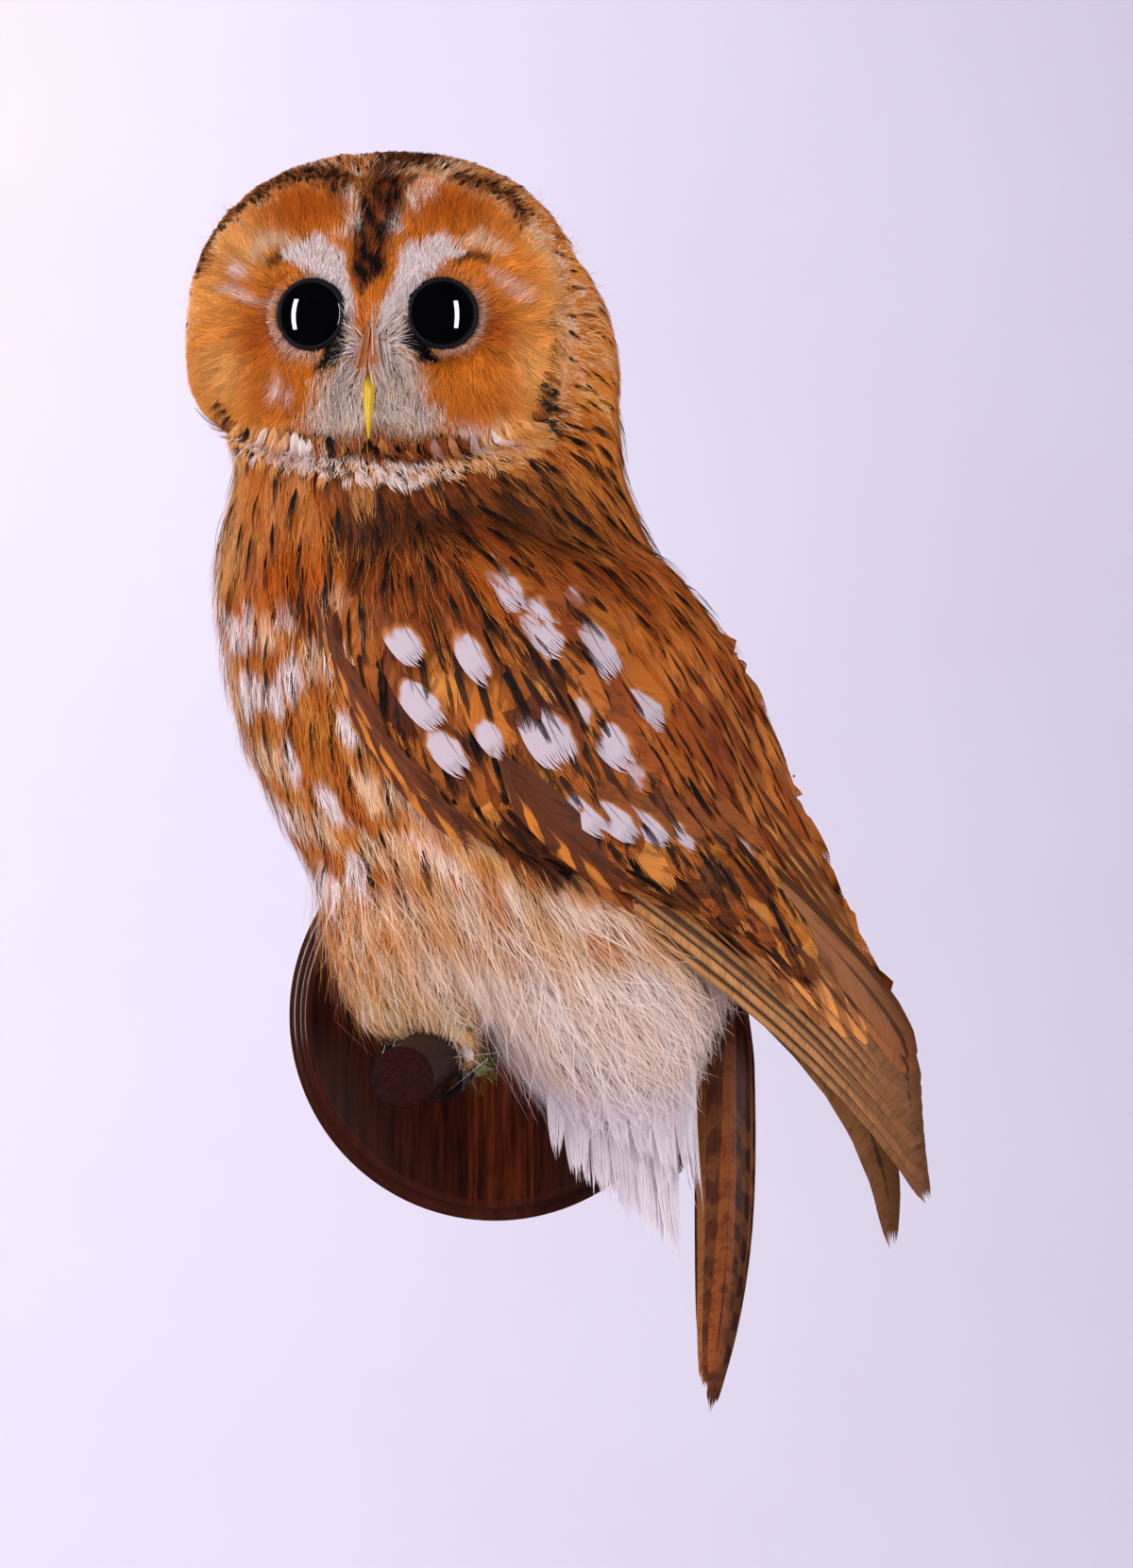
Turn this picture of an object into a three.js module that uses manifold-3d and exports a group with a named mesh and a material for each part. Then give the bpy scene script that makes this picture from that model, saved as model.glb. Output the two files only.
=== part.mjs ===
// A taxidermy tawny owl on a wooden peg that stands out from a round wall plaque.
// Millimetres, +Z up. The origin is the centre of the plaque's back face, +Y points into the wall
// and +X to the viewer's right. The bird faces -X, and its head is turned to look out along -Y.
import * as THREE from "three";
import { mergeVertices } from "three/addons/utils/BufferGeometryUtils.js";
import Module from "manifold-3d";

const wasm = await Module();
wasm.setup();

// ---- driving dimensions -------------------------------------------------------------------
const GAP = 0.3; // clearance between touching pieces
const MID_Y = -86; // the bird's plane of symmetry
const FAR = 400; // larger than the model, for cutting blocks

const PLAQUE_RADIUS = 68.6;
const PLAQUE_FIELD_RADIUS = 60;
const PLAQUE_THICKNESS = 18.5;
const PEG_RADIUS = 9.3;
const PEG_BACK = new THREE.Vector3(-1, -12, 0);
const PEG_FRONT = new THREE.Vector3(-25.6, -150, -10.8);

const HEAD_CENTRE = new THREE.Vector3(-31, -104, 221);
const HEAD_YAW = THREE.MathUtils.degToRad(3.6); // turned a little to the viewer's left
const HEAD_HALF_WIDTH = 62;
const HEAD_CROWN = 54; // from the centre up
const HEAD_CHIN = 45; // from the centre down
const HEAD_BACK = 51; // from the centre to the back of the head
const DISC_FORWARD = 35; // from the centre to the facial disc's rim
const DISC_HALF_WIDTH = 57.5;
const DISC_DROP = 15.5; // from the centre down to where the disc is widest
const DISC_ABOVE = 58; // from there up to the disc's top
const DISC_BELOW = 29.5;
const EYE_RADIUS = 12.5;
const EYE_SPREAD = 20; // each eye's distance from the head's own mid plane
const EYE_RISE = -1.5;
const EYE_FORWARD = 32;
const LID_RISE = 4.5; // how far the face rises round each eye

const LEG_SPREAD = 22; // each foot's distance from the bird's mid plane
const TOE_RADIUS = 3.6;
const CLAW_RADIUS = 1.9;
const CLAW_CLEARANCE = 5; // degrees round the peg between a toe and its claw
const TOE_GRIPS = [
  // across: place along the peg; from, to: the toe's sweep round the peg, in degrees from its top,
  // positive towards the bird's front; claw: how much further its claw reaches
  { across: -7.5, from: 14, to: 60, claw: 66 },
  { across: 7.5, from: 14, to: 60, claw: 66 },
  { across: -5, from: -14, to: -98, claw: 80 },
  { across: 5, from: -14, to: -98, claw: 80 },
];

const TAIL_FEATHERS = 12;
const TAIL_ROOT_Z = 16;
const TAIL_TIP_Z = -121.5;
const FLIGHT_FEATHERS = 7;
const FAR_TIP_SAG = new THREE.Vector3(-8, 0, -19); // the far wing's tip hangs this much lower

const COLOURS = {
  rufous: 0x9c5524,
  brown: 0x70401f,
  buff: 0xd7b48c,
  white: 0xe6dacb,
  horn: 0x0f0d0d,
  bill: 0xc9a52c,
  eye: 0x050506,
  walnut: 0x3a1a0c,
  bark: 0x35221c,
  moss: 0x66732c,
};

// ---- solids from rings and back -----------------------------------------------------------
// A closed skin through rings of points. The end caps are strips across the ring, so that a bowed
// ring is capped inside its own outline.
function loft(rings) {
  const count = rings[0].length;
  const last = (rings.length - 1) * count;
  const faces = [];
  for (let i = 0; i < count; i++) {
    const next = (i + 1) % count;
    for (let r = 0; r < last; r += count) {
      faces.push(r + i, r + next, r + count + i, r + next, r + count + next, r + count + i);
    }
  }
  for (let i = 0; i < count / 2; i++) {
    const [near, far] = [count - i - 1, (count - i) % count];
    if (i + 1 !== near) faces.push(near, i + 1, i, last + i, last + i + 1, last + near);
    if (i !== far) faces.push(far, near, i, last + i, last + near, last + far);
  }
  return outwards(new THREE.BufferGeometry().setFromPoints(rings.flat()).setIndex(faces));
}

// Turns a closed geometry's faces outwards, if its volume comes out negative.
function outwards(geometry) {
  const at = geometry.attributes.position;
  const index = geometry.index.array;
  const [a, b, c] = [new THREE.Vector3(), new THREE.Vector3(), new THREE.Vector3()];
  let volume = 0;
  for (let i = 0; i < index.length; i += 3) {
    a.fromBufferAttribute(at, index[i]);
    b.fromBufferAttribute(at, index[i + 1]);
    c.fromBufferAttribute(at, index[i + 2]);
    volume += a.dot(b.cross(c));
  }
  if (volume < 0) {
    for (let i = 0; i < index.length; i += 3) {
      [index[i + 1], index[i + 2]] = [index[i + 2], index[i + 1]];
    }
  }
  return geometry;
}

function solid(geometry) {
  const bare = geometry.clone();
  bare.deleteAttribute("normal");
  bare.deleteAttribute("uv");
  const merged = mergeVertices(bare, 1e-3);
  return new wasm.Manifold(
    new wasm.Mesh({
      numProp: 3,
      vertProperties: merged.attributes.position.array,
      triVerts: new Uint32Array(merged.index.array),
    }),
  );
}

function geometryOf(made) {
  const mesh = made.getMesh();
  const geometry = new THREE.BufferGeometry();
  const positions = new THREE.BufferAttribute(new Float32Array(mesh.vertProperties), 3);
  geometry.setAttribute("position", positions);
  geometry.setIndex(new THREE.BufferAttribute(mesh.triVerts, 1));
  geometry.computeVertexNormals();
  return geometry;
}

const joined = (solids) => solids.reduce((whole, one) => whole.add(one));

// The main body of a cut solid, without the slivers that only touch it at a point.
function largest(made) {
  const bodies = solid(geometryOf(made).toNonIndexed()).decompose();
  return bodies.reduce((best, one) => (one.volume() > best.volume() ? one : best));
}

// A big block on the side of a plane that its normal points to.
function block(point, normal) {
  const box = new THREE.BoxGeometry(2 * FAR, 2 * FAR, FAR);
  box.translate(0, 0, FAR / 2);
  const turn = new THREE.Quaternion().setFromUnitVectors(
    new THREE.Vector3(0, 0, 1),
    normal.clone().normalize(),
  );
  box.applyQuaternion(turn);
  box.translate(point.x, point.y, point.z);
  return solid(box);
}

// Rows of numbers read as one smooth curve in each column.
function smoothTable(rows) {
  const columns = rows[0].map((_, c) => {
    const points = rows.map((row, i) => new THREE.Vector3(i, row[c], 0));
    return new THREE.CatmullRomCurve3(points, false, "catmullrom", 0.5);
  });
  return (t) => columns.map((curve) => curve.getPoint(t).y);
}

const bulged = (value, power) => Math.sign(value) * Math.abs(value) ** power;

// ---- plaque and peg -----------------------------------------------------------------------
// A turned profile: square back edge, round-over, fillet, cove and a flat field.
function plaque() {
  const cove = new THREE.Path();
  cove.moveTo(0, 0);
  cove.lineTo(PLAQUE_RADIUS - 1, 0);
  cove.lineTo(PLAQUE_RADIUS, 1);
  cove.lineTo(PLAQUE_RADIUS, 7);
  cove.quadraticCurveTo(PLAQUE_RADIUS, 11.5, PLAQUE_RADIUS - 3.2, 12.5);
  cove.lineTo(PLAQUE_RADIUS - 3.6, 14);
  cove.quadraticCurveTo(PLAQUE_FIELD_RADIUS + 1, 14.5, PLAQUE_FIELD_RADIUS + 0.8, 17.5);
  cove.lineTo(PLAQUE_FIELD_RADIUS, PLAQUE_THICKNESS);
  cove.lineTo(0, PLAQUE_THICKNESS);
  const turned = new THREE.LatheGeometry(cove.getPoints(2), 36);
  return solid(turned.rotateX(Math.PI));
}

const pegLine = new THREE.Vector3().subVectors(PEG_FRONT, PEG_BACK).normalize();
const pegForward = new THREE.Vector3(-1, 0, 0).projectOnPlane(pegLine).normalize();
const pegUp = new THREE.Vector3().crossVectors(pegForward, pegLine).normalize();
if (pegUp.z < 0) pegUp.negate();

function peg(grow = 0) {
  const length = PEG_FRONT.distanceTo(PEG_BACK);
  const radius = PEG_RADIUS + grow;
  const profile = [
    new THREE.Vector2(0, 0),
    new THREE.Vector2(radius + 0.4, 0),
    new THREE.Vector2(radius, length / 2),
    new THREE.Vector2(radius, length - 1),
    new THREE.Vector2(radius - 1, length + grow),
    new THREE.Vector2(0, length + grow),
  ];
  const turned = new THREE.LatheGeometry(profile, 20);
  const turn = new THREE.Quaternion().setFromUnitVectors(
    new THREE.Vector3(0, 1, 0),
    pegLine,
  );
  turned.applyQuaternion(turn).translate(PEG_BACK.x, PEG_BACK.y, PEG_BACK.z);
  const face = new THREE.Vector3(0, -PLAQUE_THICKNESS - GAP, 0);
  return solid(turned).subtract(block(face, new THREE.Vector3(0, 1, 0)));
}

// The peg's axis point that lies y from the wall.
function pegAt(y) {
  const share = (y - PEG_BACK.y) / (PEG_FRONT.y - PEG_BACK.y);
  return new THREE.Vector3().lerpVectors(PEG_BACK, PEG_FRONT, share);
}

// A point at a turn in degrees from the peg's top, positive towards the bird's front.
function roundPeg(along, degrees, radius) {
  const turn = THREE.MathUtils.degToRad(degrees);
  return along
    .clone()
    .addScaledVector(pegUp, radius * Math.cos(turn))
    .addScaledVector(pegForward, radius * Math.sin(turn));
}

// ---- trunk, neck and head -----------------------------------------------------------------
// Level slices of the trunk: height, front, back, half width, how square, middle.
const trunkSlices = smoothTable([
  [192, -70, 36, 40, 1, MID_Y - 6],
  [176, -83.5, 44, 49, 0.96, MID_Y - 3],
  [146, -88, 56, 55, 0.93, MID_Y],
  [116, -85.5, 74, 57, 0.92, MID_Y],
  [86, -77.5, 84, 56, 0.92, MID_Y],
  [57, -62, 87, 53, 0.92, MID_Y],
  [28, -43, 85, 46, 0.95, MID_Y],
  [6, -8, 80, 39, 0.98, MID_Y],
  [-14, 11, 74, 30, 1, MID_Y],
  [-34, 25, 68, 21, 1, MID_Y],
  [-56, 40, 64, 12, 1, MID_Y],
  [-77, 54, 61, 3, 1, MID_Y],
]);

// Level slices of the neck: it leans out under the turned head.
const neckSlices = smoothTable([
  [160, -70, 40, 40, 1, MID_Y],
  [176, -83.5, 45, 49, 0.96, MID_Y - 5],
  [190, -84.5, 43, 51, 0.96, MID_Y - 10],
  [204, -82, 42, 50, 1, MID_Y - 13],
  [220, -76, 39, 47, 1, MID_Y - 15],
  [236, -66, 33, 40, 1, MID_Y - 16],
  [250, -50, 12, 24, 1, MID_Y - 16],
]);

function slicedBody(slices, rings, sides) {
  const made = [];
  for (let i = 0; i <= rings; i++) {
    const [z, front, back, half, square, middle] = slices(i / rings);
    const ring = [];
    for (let k = 0; k < sides; k++) {
      const turn = (2 * Math.PI * k) / sides;
      const x = (front + back) / 2 + ((back - front) / 2) * bulged(Math.cos(turn), square);
      ring.push(new THREE.Vector3(x, middle + half * bulged(Math.sin(turn), square), z));
    }
    made.push(ring);
  }
  return solid(loft(made));
}

// The head's own axes: right and up as the viewer sees them, forward out of the face.
const headForward = new THREE.Vector3(-Math.sin(HEAD_YAW), -Math.cos(HEAD_YAW), 0);
const headRight = new THREE.Vector3(Math.cos(HEAD_YAW), -Math.sin(HEAD_YAW), 0);
function onHead(right, up, forward) {
  const place = HEAD_CENTRE.clone().addScaledVector(headRight, right);
  place.addScaledVector(headForward, forward);
  place.z += up;
  return place;
}

// The facial disc's outline at a turn from its right side: two round lobes that meet over the bill.
function discOutline(turn) {
  const [across, up] = [Math.cos(turn), Math.sin(turn)];
  const rise = up > 0 ? DISC_ABOVE * bulged(up, 0.76) : DISC_BELOW * bulged(up, 0.7);
  const dip = 5.5 * Math.exp(-((across / 0.2) ** 2)) * (up > 0 ? 1 : 0.35);
  return { right: -1 + DISC_HALF_WIDTH * bulged(across, 0.9), up: rise - DISC_DROP - dip * up };
}

// How far the face stands out from the head's centre: a dish round each eye, whose lids rise
// again in its middle, with the brow and bill ridge between the two.
function faceDepth(right, up, share) {
  const rim = DISC_FORWARD - 3 + 6 * share ** 3;
  const ridge = 12.5 * Math.exp(-((right / 9.5) ** 2)) * Math.exp(-(((up + 6) / 34) ** 2));
  const whiskers = 6 * Math.exp(-((right / 15) ** 2)) * Math.exp(-(((up + 24) / 13) ** 2));
  const sockets = [-1, 1].reduce((sum, side) => {
    const away = Math.hypot(right - side * EYE_SPREAD, up - EYE_RISE);
    const dish = 2.5 * Math.exp(-(((away - 27) / 13) ** 2));
    return sum + LID_RISE * Math.exp(-((away / 13) ** 2)) - dish;
  }, 0);
  return rim + 3 * (1 - share ** 2) + sockets + ridge + whiskers;
}

function headBody() {
  const sides = 28;
  const rings = [];
  const ringOf = (place) =>
    rings.push(Array.from({ length: sides }, (_, k) => place((2 * Math.PI * k) / sides)));
  const skull = (turn) => ({
    right: HEAD_HALF_WIDTH * bulged(Math.cos(turn), 0.9),
    up: (Math.sin(turn) > 0 ? HEAD_CROWN : HEAD_CHIN) * bulged(Math.sin(turn), 0.9),
  });
  for (const back of [0.98, 0.86, 0.62, 0.3, 0]) {
    const shrink = Math.sqrt(1 - back ** 2);
    ringOf((turn) => onHead(skull(turn).right * shrink, skull(turn).up * shrink, -HEAD_BACK * back));
  }
  for (const share of [0.5, 0.94]) {
    ringOf((turn) => {
      const [wide, rim] = [skull(turn), discOutline(turn)];
      const blend = share ** 1.7;
      return onHead(
        wide.right + (rim.right * 1.015 - wide.right) * blend,
        wide.up + (rim.up * 1.015 - wide.up) * blend,
        DISC_FORWARD * share,
      );
    });
  }
  for (const share of [0.97, 0.85, 0.66, 0.47, 0.29, 0.12]) {
    ringOf((turn) => {
      const rim = discOutline(turn);
      const right = rim.right * share;
      const up = EYE_RISE * (1 - share) + rim.up * share;
      return onHead(right, up, faceDepth(right, up, share));
    });
  }
  return solid(loft(rings));
}

function eye(side, grow = 0) {
  const ball = new THREE.SphereGeometry(EYE_RADIUS + grow, 14, 9);
  const place = onHead(side * EYE_SPREAD, EYE_RISE, EYE_FORWARD);
  return solid(ball.translate(place.x, place.y, place.z));
}

// Half of the hooked bill: rings along a downward curve, wide at the gape and fine at the tip.
function bill(path, widths, grow = 0) {
  const line = new THREE.CatmullRomCurve3(path.map(([up, forward]) => onHead(-1, up, forward)));
  const size = smoothTable(widths);
  const steps = 5;
  const rings = [];
  for (let i = 0; i <= steps; i++) {
    const [wide, deep] = size(i / steps);
    const tangent = line.getTangent(i / steps);
    const out = new THREE.Vector3().crossVectors(headRight, tangent).normalize();
    const ring = [];
    for (let k = 0; k < 8; k++) {
      const turn = (Math.PI * k) / 4;
      const at = line.getPoint(i / steps);
      at.addScaledVector(headRight, (wide + grow) * Math.cos(turn));
      ring.push(at.addScaledVector(out, (deep + grow) * Math.sin(turn)));
    }
    rings.push(ring);
  }
  return solid(loft(rings));
}

const UPPER_BILL = [
  [[-12, 41], [-19, 47.5], [-27, 51.5], [-34, 52.5], [-40.5, 51.5]],
  [[4.4, 4], [4, 3.9], [3.2, 3.1], [2.1, 1.9], [0.5, 0.5]],
];
const LOWER_BILL = [
  [[-25, 40], [-29, 44], [-32.5, 46.8]],
  [[3.2, 2], [2.6, 1.6], [1.1, 0.8]],
];

// ---- wings and tail -----------------------------------------------------------------------
// The folded wing's arm and coverts, as rungs from the flank edge to the back edge: flank x and z,
// back x and z, depth from the bird's mid plane at the flank, middle and back, and half thickness.
const wingRungs = smoothTable([
  [-34, 160, 8, 168, 33, 38, 26, 3],
  [-46, 143, 44, 158, 43, 52, 17, 7],
  [-45, 120, 74, 126, 49, 57, 13, 8],
  [-31, 91, 88.5, 98, 51, 58, 11, 8],
  [-4, 61, 98, 72, 50, 55, 11, 7.5],
  [30, 52, 107.5, 48, 46, 50, 11, 6.5],
  [60, 38, 117, 26, 39, 43, 12, 5],
  [92, 13, 127.5, 6, 31, 33, 14, 3.5],
  [120, -10, 130.5, -12, 24, 25, 17, 1.6],
]);

function arm(grow = 0) {
  const [rows, sides] = [11, 14];
  const rings = [];
  for (let i = 0; i <= rows; i++) {
    const rung = wingRungs(i / rows);
    const [flankX, flankZ, backX, backZ, flankY, middleY, backY, thick] = rung;
    const span = Math.hypot(backX - flankX, backZ - flankZ) / 2;
    const ring = [];
    for (let k = 0; k < sides; k++) {
      const turn = (2 * Math.PI * k) / sides;
      const across = Math.cos(turn) * (1 + grow / span);
      const bow = middleY - (flankY + backY) / 2;
      const depth = (flankY + backY) / 2 + ((backY - flankY) / 2) * across + bow * (1 - across ** 2);
      ring.push(
        new THREE.Vector3(
          (flankX + backX) / 2 + ((backX - flankX) / 2) * across,
          MID_Y - depth - (thick + grow) * bulged(Math.sin(turn), 0.85),
          (flankZ + backZ) / 2 + ((backZ - flankZ) / 2) * across,
        ),
      );
    }
    rings.push(ring);
  }
  return solid(loft(rings));
}

// One long feather: a thin lens in section, swept along its shaft.
function vane(shaft, acrossAt, widthAt, thick, rings, grow = 0) {
  const made = [];
  for (let i = 0; i <= rings; i++) {
    const t = i / rings;
    const along = shaft.getTangent(t);
    const across = acrossAt(t).projectOnPlane(along).normalize();
    const up = new THREE.Vector3().crossVectors(along, across);
    const ring = [];
    for (let k = 0; k < 4; k++) {
      const turn = (Math.PI * k) / 2;
      const at = shaft.getPoint(t).addScaledVector(across, (widthAt(t) + grow) * Math.cos(turn));
      ring.push(at.addScaledVector(up, (thick + grow) * Math.sin(turn)));
    }
    made.push(ring);
  }
  return solid(loft(made));
}

// Primaries and secondaries of the folded wing, stacked from the lower edge up.
function flight(sag, grow = 0) {
  const feathers = [];
  for (let k = 0; k < FLIGHT_FEATHERS; k++) {
    const layer = MID_Y - k * 1.1;
    const lift = k * 4.6;
    const tip = new THREE.Vector3(136.5 - lift * 0.3, layer - 20, -53 + lift * 1.55);
    const shaft = new THREE.CatmullRomCurve3([
      new THREE.Vector3(6 + lift * 0.75, layer - 42, 76 + lift * 0.5),
      new THREE.Vector3(41 + lift * 0.7, layer - 40, 48 + lift * 0.75),
      new THREE.Vector3(81 + lift * 0.56, layer - 33, 17 + lift * 0.7),
      new THREE.Vector3(115 + lift * 0.27, layer - 26, -15 + lift * 0.8),
      tip.add(sag),
    ]);
    const across = () => new THREE.Vector3(0.66, -0.22, 0.72);
    const width = (t) => 2 + 7.4 * Math.sin(Math.PI * (0.12 + 0.85 * t)) ** 0.7;
    feathers.push(vane(shaft, across, width, 1.3, 4, grow));
  }
  return joined(feathers);
}

// Level rings of the closed tail's arch: height, middle x, half depth, half width.
const tailArch = smoothTable([
  [TAIL_ROOT_Z, 73, 5, 8],
  [-33, 71.5, 9, 16],
  [-62, 71.5, 8.5, 17],
  [-92, 70.5, 6.3, 16],
  [TAIL_TIP_Z, 67.5, 2.6, 13],
]);

function tail() {
  const feathers = [];
  for (let k = 0; k < TAIL_FEATHERS; k++) {
    const out = k - (TAIL_FEATHERS - 1) / 2;
    const angle = THREE.MathUtils.degToRad(out * 17);
    const reach = 1 - 0.0026 * out ** 2;
    const points = [0, 0.25, 0.5, 0.75, 1].map((t) => {
      const [z, x, deep, wide] = tailArch(t * reach);
      return new THREE.Vector3(x + deep * Math.cos(angle), MID_Y + wide * Math.sin(angle), z);
    });
    const shaft = new THREE.CatmullRomCurve3(points);
    const across = () => new THREE.Vector3(-Math.sin(angle), Math.cos(angle), 0);
    const width = (t) => 1.6 + 7.6 * Math.sin(Math.PI * (0.1 + 0.87 * t)) ** 0.6;
    feathers.push(vane(shaft, across, width, 0.9, 4));
  }
  return joined(feathers);
}

// The far wing is the near one mirrored in the bird's mid plane.
const farSide = (made) =>
  made.translate([0, -MID_Y, 0]).mirror([0, 1, 0]).translate([0, MID_Y, 0]);

// ---- legs and feet ------------------------------------------------------------------------
// Level slices of a feathered leg, as for the trunk; its middle is set for each side.
const legSlices = (middle, grow) =>
  smoothTable([
    [60, -50 - grow, -4 + grow, 16 + grow, 1, middle],
    [44, -53 - grow, 4 + grow, 19 + grow, 1, middle],
    [27, -48.5 - grow, 4 + grow, 18 + grow, 1, middle],
    [12, -43.5 - grow, 0 + grow, 15 + grow, 1, middle],
    [1 - grow, -39.5 - grow, -5 + grow, 11 + grow, 1, middle],
  ]);

const leg = (middle, grow = 0) => slicedBody(legSlices(middle, grow), 5, 10);

function sweptTube(points, radii, sides) {
  const line = new THREE.CatmullRomCurve3(points);
  const steps = 4;
  const size = smoothTable(radii);
  const rings = [];
  for (let i = 0; i <= steps; i++) {
    const along = line.getTangent(i / steps);
    const across = pegLine.clone().projectOnPlane(along).normalize();
    const out = new THREE.Vector3().crossVectors(along, across);
    const [radius] = size(i / steps);
    const ring = [];
    for (let k = 0; k < sides; k++) {
      const turn = (2 * Math.PI * k) / sides;
      const at = line.getPoint(i / steps).addScaledVector(across, radius * Math.cos(turn));
      ring.push(at.addScaledVector(out, radius * Math.sin(turn)));
    }
    rings.push(ring);
  }
  return solid(loft(rings));
}

function toe(foot, grip) {
  const along = foot.clone().addScaledVector(pegLine, grip.across);
  const radius = PEG_RADIUS + TOE_RADIUS + 2 * GAP;
  const turns = [0, 0.33, 0.66, 1].map((t) => grip.from + (grip.to - grip.from) * t);
  const points = turns.map((turn) => roundPeg(along, turn, radius));
  return sweptTube(points, [[TOE_RADIUS - 0.4], [TOE_RADIUS], [TOE_RADIUS - 0.6], [2.6]], 8);
}

function claw(foot, grip) {
  const along = foot.clone().addScaledVector(pegLine, grip.across);
  const way = Math.sign(grip.to);
  const start = grip.to + way * CLAW_CLEARANCE;
  const turns = [0, 0.35, 0.7, 1].map((t) => start + way * grip.claw * t);
  const lifts = [TOE_RADIUS, TOE_RADIUS + 0.6, TOE_RADIUS + 0.4, TOE_RADIUS - 0.8];
  const points = turns.map((turn, i) => roundPeg(along, turn, PEG_RADIUS + lifts[i]));
  return sweptTube(points, [[CLAW_RADIUS], [1.6], [1.05], [0.3]], 5);
}

// A low cushion of moss on the back of the peg, between the feet.
function moss() {
  const middle = pegAt(MID_Y);
  const lump = new THREE.SphereGeometry(1, 10, 6).scale(5.5, 8.5, 5);
  const place = roundPeg(middle, -115, PEG_RADIUS + 1.5);
  return solid(lump.translate(place.x, place.y, place.z)).subtract(peg(GAP));
}

// ---- assembly -----------------------------------------------------------------------------
const owl = new THREE.Group();
function add(name, made, colour, roughness = 0.85) {
  const finish = new THREE.MeshStandardMaterial({ color: COLOURS[colour], roughness });
  const mesh = new THREE.Mesh(geometryOf(made), finish);
  mesh.name = name;
  owl.add(mesh);
}

const level = new THREE.Vector3();
const farArm = farSide(arm());
const armsGrown = arm(GAP).add(farSide(arm(GAP)));
const flightGrown = flight(level, GAP).add(farSide(flight(FAR_TIP_SAG, GAP)));
const billGrown = bill(...UPPER_BILL, GAP).add(bill(...LOWER_BILL, GAP));
const facePieces = joined([eye(-1, GAP), eye(1, GAP), billGrown]);

const flesh = joined([slicedBody(trunkSlices, 14, 18), slicedBody(neckSlices, 7, 18), headBody()])
  .subtract(armsGrown)
  .subtract(flightGrown)
  .subtract(facePieces);

// Head and neck part from the chin up to the nape, neck and trunk part below the ruff.
const napeCut = new THREE.Vector3(-31, -104, 196);
const napeWay = new THREE.Vector3(0, -0.42, 1);
const throatCut = new THREE.Vector3(-20, MID_Y, 168);
const throatWay = new THREE.Vector3(-0.12, 0, 1);
const lifted = (point, by) => point.clone().add(new THREE.Vector3(0, 0, by));

add("head", largest(flesh.intersect(block(lifted(napeCut, GAP), napeWay))), "rufous");
const neck = flesh
  .subtract(block(napeCut, napeWay))
  .intersect(block(lifted(throatCut, GAP), throatWay));
add("neck", largest(neck), "rufous");
const trunk = largest(flesh.subtract(block(throatCut, throatWay)).subtract(peg(GAP)));
add("trunk", trunk, "buff");

add("eye_left", eye(1), "eye", 0.05);
add("eye_right", eye(-1), "eye", 0.05);
const upperBill = bill(...UPPER_BILL);
add("bill_upper", upperBill, "bill", 0.4);
add("bill_lower", largest(bill(...LOWER_BILL).subtract(bill(...UPPER_BILL, GAP))), "bill", 0.4);

add("wing_left", arm(), "rufous");
add("wing_right", farArm, "rufous");
add("flight_feathers_left", largest(flight(level).subtract(armsGrown)), "brown");
const farFlight = farSide(flight(FAR_TIP_SAG)).subtract(armsGrown);
add("flight_feathers_right", largest(farFlight), "brown");

const trunkSpace = [-1, 1].reduce(
  (space, side) => space.add(trunk.translate([side * GAP, 0, 0])).add(trunk.translate([0, side * GAP, 0])),
  trunk,
);
add("tail", largest(tail().subtract(trunkSpace).subtract(flightGrown)), "brown");

for (const [name, side] of [["left", -1], ["right", 1]]) {
  const middle = MID_Y + side * LEG_SPREAD;
  const foot = pegAt(middle);
  const shank = largest(leg(middle).subtract(trunkSpace).subtract(peg(GAP)).subtract(armsGrown));
  add("leg_" + name, shank, "white");
  const toes = TOE_GRIPS.map((grip) => toe(foot, grip));
  const pad = new THREE.SphereGeometry(1, 10, 6).scale(5, 11.5, 4);
  const place = roundPeg(foot, 0, PEG_RADIUS + 3.2);
  pad.translate(place.x, place.y, place.z);
  const feet = joined([solid(pad), ...toes])
    .subtract(leg(middle, GAP))
    .subtract(trunkSpace)
    .subtract(peg(GAP));
  add("foot_" + name, largest(feet), "white");
  TOE_GRIPS.forEach((grip, i) => {
    const bare = largest(claw(foot, grip).subtract(leg(middle, GAP)));
    add(`claw_${name}_${i + 1}`, bare, "horn", 0.25);
  });
}

add("moss", largest(moss().subtract(trunkSpace)), "moss", 0.95);
add("perch_peg", peg(), "bark", 0.8);
add("plaque", plaque(), "walnut", 0.35);

export default owl;
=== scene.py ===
# %% [markdown]
# # A taxidermy tawny owl on its peg and wall plaque
#
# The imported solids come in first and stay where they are: every measure below is taken
# from them or fitted to them, in metres. The plaque's back is at y = 0, the owl sits on
# the peg in front of it, looking out along -y, and z is up.

# %% Load the fixed frame
import math

import bmesh
import bpy
import numpy as np
from mathutils import Matrix, Vector
from mathutils.bvhtree import BVHTree
from mathutils.kdtree import KDTree


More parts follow.
